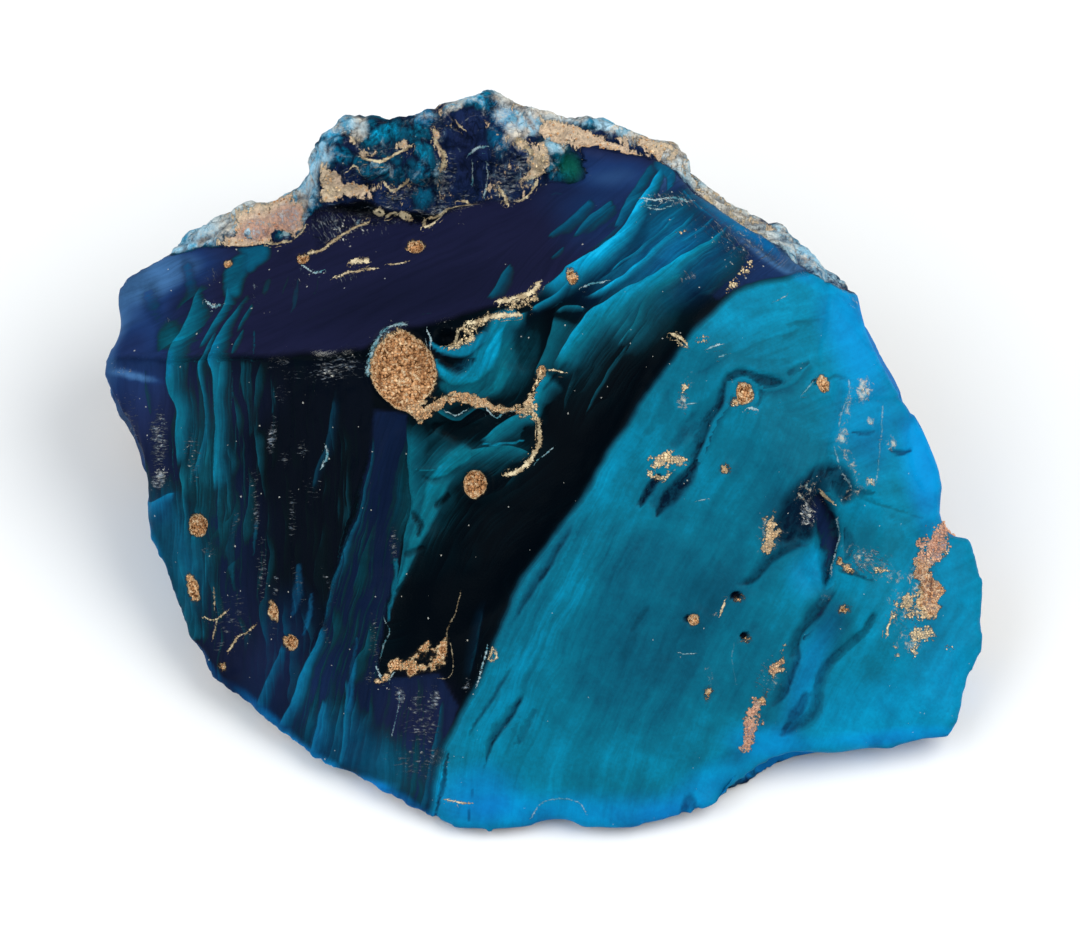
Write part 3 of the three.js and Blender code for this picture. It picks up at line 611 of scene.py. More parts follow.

# Dark lines and pits in the glass, dark partly in the glass itself and partly as painted shade in their
# hollows: line, half-widths, strength, depth and lean (0 for even ones).
gashes = [
    ([(-8.8, 9.4), (-7.6, 9), (-6.2, 9.6)], (0.4, 0.9, 0.3), 0.7, 0.3, 0),
    ([(-9.4, 3.6), (-7.6, 3.2), (-5.6, 3.7)], (0.5, 1.1, 0.3), 0.7, 0.3, 0),
    ([(-10.8, -0.5), (-9.4, -0.9), (-8.2, -0.5), (-7, 0.4)], (0.3, 0.8, 0.6, 0.2), 0.75, 0.2, -1),
    ([(-9.4, -3.4), (-8.4, -2.5)], (0.4, 0.3), 0.6, 0.1, 0),
    ([(-11.6, -4), (-11, -5), (-11, -6.2)], (0.25, 0.4, 0.2), 0.6, 0.1, 0),
    ([(-12, -7.6), (-10.6, -7.2)], (0.35, 0.2), 0.6, 0.1, 0),
    ([(2.6, 9.8), (1.4, 8.6), (0.2, 7.2)], (0.4, 0.8, 0.3), 0.75, 0.15, 1),
    ([(8, 12.4), (7, 10.8), (6.2, 9.4)], (0.3, 0.6, 0.3), 0.8, 0.1, 1),
    ([(-1, 13.2), (-1.6, 11.4), (-1.4, 9.4)], (0.8, 1.2, 0.8), 0.4, 0.15, 0),
    ([(-8.6, 11.75), (-7.9, 11.6)], (0.75, 0.65), 1, 1.2, 0),
    # bright face: the long fold that bends round a plug
    ([(16.8, 7.9), (17.6, 8.5), (18.6, 8.6), (19.6, 8.15), (20.6, 7.8), (21.5, 7.7)],
     (0.3, 0.4, 0.42, 0.55, 0.7, 0.3), 0.62, 0.3, 0),
    ([(16.9, 8.2), (16.6, 7.2), (16.4, 6), (16, 5), (15.2, 3.4), (14.6, 2.2), (14, 1), (13.9, 0)],
     (0.5, 0.9, 1.4, 2.1, 2.4, 2.2, 1.4, 0.6), 0.84, 0.45, -1),
    ([(16.1, 6), (15.2, 4.6), (14.2, 3), (13.4, 1.4)], (1.2, 2, 2, 1), 0.26, 0.1, 0),
    ([(13.8, 0.4), (13.2, -0.7), (12.2, -1.8), (11.2, -2.9), (10.5, -3.9)], (0.4, 0.8, 0.95, 0.7, 0.3),
     0.75, 0.35, 0),
    ([(10.7, -0.6), (10, -1.6), (9.4, -2.4), (8.9, -3.1)], (0.3, 0.5, 0.45, 0.3), 0.85, 0.3, 0),
    ([(13.8, 4.6), (12.8, 3.2), (11.9, 2.1)], (0.5, 0.9, 0.5), 0.3, 0.15, 0),
    ([(11.8, -0.4), (11.2, -1.6), (10.2, -3)], (0.5, 0.9, 0.5), 0.24, 0.1, 0),
    ([(19.3, 7.4), (19.9, 7), (20.8, 6.9), (21.8, 7.2), (22.8, 7.9), (23.6, 8.8), (24.2, 9.4)],
     (0.5, 0.7, 0.8, 0.9, 0.9, 0.8, 0.4), 0.36, 0.2, -1),
    ([(22.2, 8.5), (23.2, 9.1), (24, 9.5)], (0.3, 0.4, 0.2), 0.3, 0.1, 0),
    ([(19.6, 6.9), (19.6, 6.2), (19.3, 5.6)], (0.2, 0.3, 0.2), 0.4, 0.1, 0),
    ([(13.8, 8.5), (15, 8.9), (16, 9.6), (17, 10.2), (18.4, 11), (20, 11.6), (22, 12), (23.6, 12.5)],
     (0.5, 0.9, 1, 1, 1, 1, 0.5), 0.24, 0.05, -1),
    ([(21.6, 12.8), (22.8, 13.1), (24, 13.3), (25.4, 13.5)], (0.4, 0.8, 0.8, 0.3), 0.24, 0.05, -1),
    ([(16, 10.5), (17.4, 10.3), (19, 10), (22, 10), (24.6, 10.8)], (0.3, 0.6, 0.8, 0.8, 0.3), 0.14, 0.05,
     -1),
    ([(17, 14.2), (20, 14.2), (24, 14.6)], (0.4, 0.8, 0.5), 0.1, 0.04, -1),
    ([(11.4, 6.6), (11, 5), (9.6, 3.4)], (0.5, 0.9, 0.5), 0.16, 0.05, 0),
    ([(25.6, 7.8), (26.6, 8.1), (28, 8)], (0.15, 0.25, 0.1), 0.3, 0.1, 0),
    ([(2.9, -5.2), (1.8, -7.4), (0.6, -9.4), (-0.8, -11.4), (-2.2, -13.6)], (0.4, 0.9, 1, 0.8, 0.4), 0.8,
     0.25, -1),
    ([(4.6, -8), (2.8, -11), (1, -14.4), (-0.6, -18)], (0.4, 0.9, 0.9, 0.4), 0.2, 0.06, -1),
    ([(8.8, -5.4), (6.6, -9.6), (4.6, -14), (3, -19)], (0.5, 1.2, 1.2, 0.5), 0.14, 0.05, -1),
    ([(-2.1, -17.4), (-3.4, -19.3), (-4.8, -21.6), (-6.2, -23.8)], (0.3, 0.5, 0.45, 0.3), 0.7, 0.15, -1),
    ([(-1.3, -20), (-2.4, -21.8), (-3.4, -23.4), (-4.3, -25.2), (-4.9, -26.8)], (0.4, 1, 1.1, 0.7, 0.3),
     0.95, 0.3, -1),
    ([(-0.6, -21.6), (-1.4, -23), (-2, -24.4)], (0.3, 0.4, 0.3), 0.28, 0.1, 0),
    ([(9.3, -12.4), (8.7, -13.4), (8.1, -14.4)], (0.3, 0.4, 0.3), 0.2, 0.05, 0),
    ([(4.6, -3.4), (3, -6.6), (1.2, -10), (-0.4, -13.6), (-1.6, -17)], (0.4, 0.7, 0.5, 0.7, 0.4), 0.24,
     0.05, -1),
    ([(6.4, -6.6), (4.6, -9.8), (3, -13.4), (1.6, -17)], (0.4, 0.7, 0.6, 0.4), 0.2, 0.05, -1),
    ([(1, -14.6), (-0.6, -18.4), (-2, -22.4), (-3, -26)], (0.4, 0.6, 0.6, 0.4), 0.22, 0.05, -1),
    ([(1.4, -20), (0.2, -23), (-1.4, -26), (-2.4, -29)], (0.2, 0.6, 0.6, 0.2), 0.2, 0.06, -1),
    ([(-8, -25), (-8.6, -28), (-9.4, -31)], (0.12, 0.25, 0.12), 0.6, 0.1, 0),
    ([(-6.2, -28.6), (-6.4, -31.4)], (0.1, 0.12), 0.5, 0.15, 0),
    # the pit, the crumbled glass above it and the trough that leads to it
    ([(25.1, -1.9), (26, -3.1), (26.7, -4.5), (26.8, -6.1), (26.4, -7.9), (25.8, -9.4), (25.2, -10.6)],
     (1, 2.6, 3.4, 3.2, 2.4, 1.4, 0.4), 0.98, 0.9, -1),
    ([(25.4, -3), (25.7, -5), (25.6, -7)], (0.7, 1.2, 0.8), 0.9, 0.2, 0),
    ([(24.6, -2), (23.8, -3.6), (23.4, -5.6)], (1.1, 1.6, 1.2), 0.62, 0.25, 0),
    ([(27.2, -1.6), (28.4, -2.2), (29.6, -2.4)], (0.3, 0.4, 0.2), 0.4, 0.15, 0),
    ([(26.9, -5), (27.6, -6.6), (27.6, -8)], (0.3, 0.7, 0.3), 0.3, 0.1, 0),
    ([(27.4, -2.4), (26.2, -0.8), (24.6, -1.4), (23.2, -3.2), (22, -5.6)], (0.8, 1.4, 1.6, 1.9, 1.5), 0.66,
     0.35, 0),
    ([(23.8, -6.9), (22.4, -7.4), (21, -8.4), (20, -9.4), (18.8, -10.2), (17.5, -10.3)],
     (1.6, 2, 1.8, 1.5, 1.2, 0.5), 0.66, 0.5, -1),
    ([(26.5, -9.1), (27.8, -9.4), (29, -9.9), (30, -10.2)], (0.3, 0.55, 0.5, 0.2), 0.75, 0.3, 1),
    ([(28.2, -2.6), (29.6, -3.3), (31.6, -3.8), (34.4, -4.8)], (0.5, 0.5, 0.3, 0.12), 0.3, 0.15, 1),
    ([(26.6, -10.4), (25.6, -11.8), (24.9, -13), (24.2, -14), (23.5, -15), (23.3, -16), (23.4, -16.9),
      (23, -18), (22.5, -19.2), (21.6, -20.5), (20.4, -21.4)],
     (0.6, 1.7, 1.8, 1.2, 1.4, 1.6, 1.6, 1.4, 0.5), 0.66, 0.35, -1),
    ([(25, -11.4), (24.2, -13), (23.6, -14.6), (22.6, -16.6)], (0.4, 0.7, 0.7, 0.4), 0.4, 0.2, 0),
    ([(29.7, -13.1), (28.9, -14.5), (27.6, -15.6), (26.4, -16.6), (25.4, -17.8), (24.9, -19.2),
      (24.5, -20.8), (24, -22), (22.8, -23), (21.6, -23.8)],
     (0.3, 0.45, 0.45, 0.45, 0.5, 0.5, 0.6, 0.7, 0.6, 0.2), 0.4, 0.3, 0),
    ([(30, -13), (29, -14.8), (27.6, -16.2), (26.4, -17.4), (25.6, -19), (25.2, -21), (24.4, -22.8),
      (22.4, -24)], (0.6, 1.2, 1.4, 1.2, 1.2, 1, 0.4), 0.2, 0.15, -1),
    ([(23.6, -20.2), (22.8, -21.6), (21.9, -23.2)], (0.4, 0.75, 0.3), 0.46, 0.2, 0),
    ([(27.8, 3.3), (28.8, 3.1), (29.7, 3.3)], (0.15, 0.3, 0.15), 0.4, 0.15, 0),
    ([(31.1, 1.7), (32.1, 1.35), (33, 1.5)], (0.15, 0.32, 0.15), 0.6, 0.15, 0),
    ([(12.8, -30.6), (13.3, -29.4), (13.9, -30.2)], (0.4, 0.6, 0.4), 0.5, 0.2, 0),
]

# Steps where flat flakes have come off: line, half-widths, drop, lean and how much shade is painted at the
# foot of the step.
ledges = [
    ([(25.5, 17), (25.7, 15), (25.6, 12.8), (25, 10.6), (24.9, 9.2)], (2.4, 3, 3, 2.4, 1.6), 0.3, -1, 0.08),
    ([(27.4, 8), (27.1, 5.8), (26.2, 3.6), (25.7, 1.2), (26, -1.2)], (2, 2.6, 2.6, 2.2, 1.4), 0.35, -1,
     0.1),
    ([(32.4, 6.6), (30.6, 6.2), (29, 6.4), (27.4, 6)], (1.4, 1.8, 1.6, 1), 0.25, 1, 0.12),
    ([(33.4, 5.8), (33, 4), (32.8, 1.8), (33.4, -0.6), (34.4, -2.6)], (1.4, 1.8, 1.8, 1.4, 1), 0.25, -1,
     0.08),
    ([(30.2, 5.6), (30, 3.6), (30.6, 1.6)], (1, 1.4, 1), 0.2, -1, 0.08),
    ([(35.4, -4.6), (33.6, -8), (32.6, -11.4), (31, -15)], (1.6, 2.4, 2.4, 1.4), 0.3, -1, 0.08),
    ([(-24, 9.9), (-20, 9.8), (-16, 10.4)], (0.6, 0.8, 0.5), 0.2, -1, 0.3),
    ([(-11.4, 28), (-13.6, 27.7), (-16, 27.6), (-18.8, 28)], (1, 1.6, 1.6, 0.8), 0.7, -1, 0.5),
    ([(-7.8, 30), (-8.4, 28), (-8.8, 25.8), (-9.6, 24.4)], (1, 1.2, 1.2, 0.8), 0.5, -1, 0.4),
    ([(-11.8, 27), (-13, 25.8), (-15, 25), (-17, 24.8)], (0.8, 1.2, 1.2, 0.6), 0.5, -1, 0.4),
    ([(-3.8, 23.5), (-6, 23.3), (-8, 23.2), (-9, 22.4), (-10.4, 21.6)], (0.5, 0.7, 0.7, 0.7, 0.4), 0.3, -1,
     0.3),
    ([(7.4, 28.2), (4.6, 29), (2, 30), (0.2, 31.2)], (0.8, 1.1, 1.1, 0.7), 0.4, 1, 0.2),
]

# Where thin curtains of glass hang along the flow, and how strongly.
curtains = [
    ((-30.5, 9), (4.5, 9), 0.34, 5), ((-30, -2), (4, 7), 0.66), ((-26, 2), (3, 9), 0.5),
    ((-28, -11), (4.5, 8), 0.66, -20), ((-23, -15), (4, 7), 0.4, -15), ((-21, 0), (5, 9), 0.26),
    ((-17, -8), (3.4, 12), 0.5, 8), ((-18.5, -20), (3.6, 6), 0.5, 8), ((-11.5, -24), (3, 6), 0.4),
    ((-35.5, 2), (1.8, 7), 0.3, 8), ((-28, 16.5), (3, 2.5), 0.3), ((6, 11), (4, 6), 0.36, -30),
    ((8.5, 20), (4, 7), 0.5, -45), ((14, 19), (4, 3), 0.5, 30), ((-5, 9), (4, 5), 0.34),
    ((-7, -1), (6, 7), 0.34, -20), ((1, -12), (4, 15), 0.14, -28), ((10, -18), (7, 14), 0.05, -25),
    ((20, 2), (9, 13), 0.03, -20), ((24, -16), (5, 8), 0.05, -25),
]

# Round plugs of sand sunk into the glass, and how deep. Open ones are empty holes.
sandPlugs = [
    ((-12.1, 8.6), (2.95, 3.35), 0.55, 10), ((-5.8, -1.5), (1.1, 1.3), 0.4),
    ((-30.3, -5.1), (0.95, 0.95), 0.45), ((-22.1, -15.5), (0.65, 0.75), 0.3),
    ((-11.05, 19.75), (0.82, 0.66), 0.3, 5), ((-28, 18.3), (0.42, 0.4), 0.3),
    ((-21.2, 18.7), (0.6, 0.5), 0.3), ((2.9, 16.9), (0.6, 0.55), 0.3), ((0.1, 8.6), (0.5, 0.6), 0.3),
    ((-28.2, -17.6), (0.4, 0.35), 0.25), ((18.1, 6.8), (0.82, 1.05), 0.4),
    ((17.2, 5.8), (0.42, 0.3), 0.1, 20), ((25.1, 7.4), (0.6, 0.85), 0.3, 15),
    ((16.5, -0.2), (0.34, 0.38), 0.25), ((26.9, -12.4), (0.5, 0.34), 0.25, 10),
    ((26.8, -8.3), (0.3, 0.34), 0.2), ((27.8, -8.9), (0.5, 0.26), 0.15, -25),
    ((13.7, -13.5), (0.5, 0.6), 0.3), ((15, -19.9), (0.32, 0.55), 0.25),
    ((17.55, -11.55), (0.4, 0.24), 0.15, 20), ((18.2, -15.15), (0.36, 0.22), 0.15, 20),
    ((-31, -10.8), (0.5, 1.2), 0.25, 20), ((-23.5, -12.8), (0.45, 1), 0.25, 10),
]
openHoles = [
    ((17.3, -11.2), (0.4, 0.3), 0.8, 20), ((18, -14.85), (0.34, 0.26), 0.8, 10),
    ((13.15, -13.3), (0.3, 0.26), 0.6), ((24.3, 7.6), (0.16, 0.2), 0.3),
]

# Seams of sand: line, half-widths, how much of the seam is filled and how cream the sand is.
sandSeams = [
    ([(-11, 4.9), (-10, 5.3), (-9, 6), (-7, 6.4), (-5.2, 5.7), (-3, 5.2), (-0.8, 5.4)],
     (0.7, 0.45, 0.35, 0.4, 0.45, 0.4, 0.5), 0.95, 0.25),
    ([(-1.4, 5.6), (-0.8, 6.8), (-0.1, 8)], (0.45, 0.4, 0.3), 0.8, 0.5),
    ([(-0.7, 5), (-0.2, 4.2), (0, 3.4)], (0.5, 0.3, 0.15), 0.8, 0.8),
    ([(-7.8, 10.8), (-6.8, 11.4), (-5.8, 12.2), (-5.2, 13)], (0.4, 0.55, 0.5, 0.2), 0.7, 0.8),
    ([(-5.4, 13.3), (-4, 13.8), (-2.4, 14.4), (-1, 15), (-0.3, 15.8)], (0.1, 0.2, 0.34, 0.5, 0.2), 0.75,
     0.7),
    ([(-13.1, -17.5), (-12.5, -17.3)], (0.5, 0.45), 1, 0),
    ([(-12.1, -17.9), (-11.5, -17.4), (-10.8, -16.9)], (0.3, 0.42, 0.3), 1, 0),
    ([(-11.3, -18.3), (-10.8, -17), (-10, -15.7)], (0.3, 0.36, 0.2), 1, 0),
    ([(-10.7, -17.9), (-9.8, -17.7), (-9, -17), (-8.5, -15.4)], (0.25, 0.36, 0.45, 0.2), 1, 0),
    ([(-14.4, -19.1), (-13.6, -18.6)], (0.28, 0.25), 0.9, 0.2),
    ([(10.1, 0.1), (10.7, 0.8), (11.4, 0.9), (12.5, 0.7)], (0.35, 0.6, 0.55, 0.45), 0.9, 0.7),
    ([(9.9, -0.6), (10.8, -0.8), (11.6, -0.4)], (0.3, 0.42, 0.2), 0.85, 0.8),
    ([(12.7, 6.8), (12.9, 7.6)], (0.25, 0.28), 0.7, 0.8),
    ([(20.8, -3.9), (20.4, -5), (20.7, -6.2), (20.2, -7.4)], (0.3, 0.55, 0.55, 0.4), 0.8, 0.5),
    ([(14.4, 11.4), (15.2, 11.7)], (0.3, 0.3), 0.45, 0.9),
    ([(12.2, 12.2), (12.5, 11.2), (13.4, 10.4)], (0.12, 0.3, 0.1), 0.55, 0.9),
    ([(19.1, -21), (19, -22), (18.8, -23.4), (18.5, -25)], (0.62, 0.6, 0.52, 0.48), 1, -0.75),
    ([(21.4, -17.2), (21, -17.8)], (0.45, 0.45), 0.8, -0.3),
    ([(21.9, -15.8), (21.5, -16.6)], (0.2, 0.2), 0.6, 0.8),
    ([(20.4, -19.4), (19.8, -20.2)], (0.3, 0.3), 0.4, 0.3),
    ([(35.8, -5.8), (35.2, -6.8), (34.4, -8), (34.2, -9)], (0.8, 1, 0.85, 0.7), 1.2, -0.8),
    ([(34.2, -9), (34.4, -10), (34.8, -11), (34.5, -12), (34.2, -13)], (0.65, 0.8, 0.95, 0.9, 0.5), 1.1,
     -0.3),
    ([(33.4, -11), (32.4, -11.8), (32.8, -12.8), (33.8, -13.2)], (0.35, 0.5, 0.55, 0.4), 0.75, 0.6),
    ([(31.7, -12), (31.4, -13.2)], (0.35, 0.25), 0.55, 0.7),
    ([(33.4, -14.8), (34.2, -14.7), (34.9, -15)], (0.45, 0.75, 0.4), 0.85, 0.8),
    ([(33.4, -15.8), (33.3, -16.4)], (0.3, 0.25), 0.5, 0.8),
    ([(31.6, -15.9), (31.7, -16.6)], (0.3, 0.25), 0.5, 0.9),
    ([(36.4, -16), (36.9, -16.1)], (0.3, 0.25), 0.6, 0.9),
    ([(30.2, -9.1), (31, -9.3)], (0.35, 0.3), 0.6, 0.7),
    ([(28, -7.6), (29, -8.2), (29.8, -8.8)], (0.3, 0.4, 0.2), 0.3, 0.9),
    ([(28.8, 7.1), (29, 6.4)], (0.25, 0.2), 0.5, 0.9),
    ([(29.1, -1.3), (29.7, -1.1)], (0.25, 0.2), 0.5, 0.9),
    ([(16.7, 15.5), (17.1, 16), (17.7, 16.5)], (0.15, 0.3, 0.15), 0.95, 1),
    ([(17.9, 17), (18.4, 17.5), (18.6, 18.3)], (0.15, 0.3, 0.15), 0.95, 1),
    ([(12, 20.6), (13.4, 21.2)], (0.15, 0.2), 0.6, 0.5),
]

# Thin pale lines of sand: line, half-width and strength.
sandThreads = [
    ([(-16, 27.8), (-15, 27.5), (-14, 27.4), (-13.4, 27.7), (-12.6, 28.1), (-11.6, 28.6)], 0.12, 1),
    ([(-9.2, 30.4), (-9.25, 29.4), (-8.8, 28.8), (-8.5, 28.2), (-8.6, 27.4), (-8.9, 26.6)], 0.22, 1),
    ([(-10.4, 22.1), (-10.3, 21.6), (-9.7, 21.7), (-8.9, 22.4), (-8.2, 23), (-7.2, 23.35), (-6, 23.4)],
     0.15, 1),
    ([(-9.9, 22.4), (-9.2, 22.6), (-8.6, 23)], 0.1, 0.8),
    ([(-7.2, 23.9), (-6.6, 24), (-6.3, 23.7)], 0.12, 0.8),
    ([(-14.8, 23.2), (-14.4, 23.4), (-14, 23), (-14.3, 22.7), (-14.8, 23.2)], 0.16, 1),
    ([(-13.7, 22.6), (-13.4, 23), (-13.1, 23)], 0.14, 1),
    ([(-12.6, 22.9), (-12, 22.9), (-11.5, 22.3), (-12.1, 22.3), (-12.6, 22.9)], 0.14, 1),
    ([(-15.6, 22.1), (-16.6, 21.5), (-17.4, 20.9), (-18.6, 20.1), (-19.6, 19.4), (-20.6, 19.1)], 0.18, 0.9),
    ([(-13.8, 25.5), (-13.2, 25.1), (-12.6, 25.5), (-12, 25.9)], 0.13, 1),
    ([(-17, 26.8), (-16.5, 27.1), (-16, 26.7)], 0.1, 0.6),
    ([(-7.2, 31), (-6.8, 30.5)], 0.12, 1),
    ([(-2, 24.1), (-1.3, 24.2), (-0.8, 24.9), (-0.4, 25.6)], 0.15, 1),
    ([(-1.8, 29.4), (-1, 28.4), (-0.3, 27.8), (0, 27), (-0.3, 26.2), (-1.3, 26)], 0.28, 1),
    ([(-3.4, 25), (-3, 24.4), (-2.8, 23.8)], 0.16, 0.9),
    ([(-24.4, 20.1), (-23.4, 19.9), (-22.4, 20.1), (-21.6, 20.7), (-21, 21.5)], 0.18, 1),
    ([(-16.7, 18.15), (-16, 18.35), (-15.3, 18.4)], 0.22, 1),
    ([(-18.4, 16.8), (-16.6, 17.4), (-14.6, 17.8)], 0.12, 0.55),
    ([(-13.4, 18.1), (-12, 18.3)], 0.1, 0.6),
    ([(-29.8, -13.2), (-28.8, -13.3), (-27.8, -12.6)], 0.13, 0.5),
    ([(-29.2, -15), (-28.8, -13.4)], 0.12, 0.42),
    ([(-28.9, -12.2), (-28.9, -10.9)], 0.12, 0.42),
    ([(-27.6, -16.2), (-27.1, -15.1), (-26.1, -14.6), (-25.4, -14)], 0.15, 0.55),
    ([(-8.3, -15.2), (-8.1, -14.2), (-7.4, -12.8), (-7.1, -11.2)], 0.08, 0.38),
    ([(-8, -15.8), (-7.8, -17.4), (-8.2, -18.6), (-9, -18.8)], 0.07, 0.38),
    ([(-4.6, -16.9), (-4.1, -16), (-3.8, -16.8), (-4.3, -17), (-4.6, -16.9)], 0.14, 0.6),
    ([(0.8, 8.8), (1.4, 8.9), (2.1, 8.7)], 0.09, 0.8),
    ([(-0.1, 4.2), (0.05, 3), (-0.3, 1.7), (-1.1, 0.4), (-1.9, -0.3), (-2.9, -0.7)], 0.2, 1),
    ([(-6.2, 12.7), (-4.8, 13.2), (-3.4, 13.7), (-2, 13.9)], 0.22, 1),
    ([(-3.6, 14.7), (-2.2, 15.1), (-0.9, 15.6), (-0.2, 16.3)], 0.2, 1),
    ([(-8.6, 11), (-7.4, 12.1), (-6.4, 12.9)], 0.16, 0.8),
    ([(11.8, 11.9), (12.4, 11.6), (12.9, 11.2)], 0.13, 1),
    ([(25.4, -2.3), (25.7, -2.6), (26.1, -2.9)], 0.1, 1),
    ([(31.2, -13), (31, -14.8)], 0.12, 0.7),
    ([(16.3, -11.8), (16, -12.8)], 0.1, 0.8),
    ([(-8.2, -29.6), (-6.4, -29.9)], 0.14, 0.6),
]

# Thin pale lines where the glass is chipped.
chipThreads = [
    ([(-6.3, 28.1), (-5.6, 28.5), (-4.9, 28.6)], 0.12, 0.9),
    ([(-6.1, 27.2), (-6.1, 25.4)], 0.1, 0.45),
    ([(-4.75, 27.3), (-4.7, 25.6), (-4.9, 24.2)], 0.14, 0.5),
    ([(-23, 21.1), (-22.7, 21.3), (-22.4, 21), (-22.7, 20.8), (-23, 21.1)], 0.14, 1),
    ([(-13.7, -13.4), (-13.3, -14.4), (-13.7, -15.6), (-14, -16.8)], 0.1, 0.42),
    ([(-14.4, -17.9), (-14.1, -18.8), (-13.6, -19), (-12.9, -18.4)], 0.14, 0.6),
    ([(-12.5, -20), (-12.6, -22), (-12.9, -23.6)], 0.08, 0.4),
    ([(-4.7, -16), (-5.2, -17.4), (-5.7, -19.3)], 0.12, 0.5),
    ([(-4.6, 5.1), (-3.8, 4.4), (-3, 5), (-2.2, 5.2)], 0.1, 0.6),
    ([(-8.4, 5), (-7.6, 4.7), (-6.8, 5.2)], 0.08, 0.55),
    ([(-0.4, 0.5), (0.4, 1.2), (1.1, 1.9)], 0.08, 0.5),
    ([(4, 16.2), (4.8, 16.5), (5.8, 16.6)], 0.09, 0.9),
    ([(9.2, 23.9), (10.4, 23.7), (11.8, 23.9), (13, 23.6)], 0.14, 0.55),
    ([(9.4, 23.1), (10.6, 22.8), (11.6, 23.1)], 0.12, 0.5),
    ([(-21, 17.9), (-20.4, 17.35), (-19.6, 17.35)], 0.12, 0.6),
    ([(-11.8, 12.3), (-13.2, 12.1), (-14.4, 11.1), (-15, 9.8), (-15.2, 8.4)], 0.3, 0.48),
    ([(-9.9, 12), (-9.6, 11.2), (-9.7, 10.8)], 0.1, 0.8),
    ([(-29.7, 14.5), (-29.2, 14.2), (-28.6, 14.4)], 0.13, 0.8),
    ([(-19.1, 2), (-19, 1.2), (-19.4, 0.4)], 0.15, 0.6),
    ([(26.7, -4.4), (26.8, -6), (26.4, -7.6), (25.9, -9.2)], 0.07, 0.6),
    ([(23.4, 6.8), (23.8, 7.3), (24.2, 7.7)], 0.08, 0.8),
    ([(27.7, 7.8), (27.6, 6.6), (27, 5.4), (26.6, 4.2)], 0.12, 0.4),
    ([(30.4, 5.6), (30.3, 3), (30.2, 1), (29.9, -1)], 0.12, 0.4),
    ([(26.2, 1.6), (26.6, 0), (27.6, -1.6)], 0.14, 0.4),
    ([(14.2, -2.9), (14.8, -2.85)], 0.07, 0.8),
    ([(15.2, 10.7), (15.9, 11)], 0.1, 0.9),
    ([(16.1, 9.9), (16.5, 10.1)], 0.09, 0.8),
    ([(13.2, 5.7), (13.8, 5.8)], 0.09, 0.7),
    ([(18.6, 5.35), (19.1, 5.25)], 0.14, 1),
    ([(21, 14.9), (21.9, 15.4)], 0.05, 0.7),
    ([(12.4, -16.5), (13.6, -16.5)], 0.06, 0.7),
    ([(-0.8, -30.8), (0.2, -29.7), (1.8, -29.3), (3.4, -29.7), (4, -30.6)], 0.1, 0.42),
    ([(17.2, -15.8), (17, -17), (17.3, -19)], 0.07, 0.35),
]

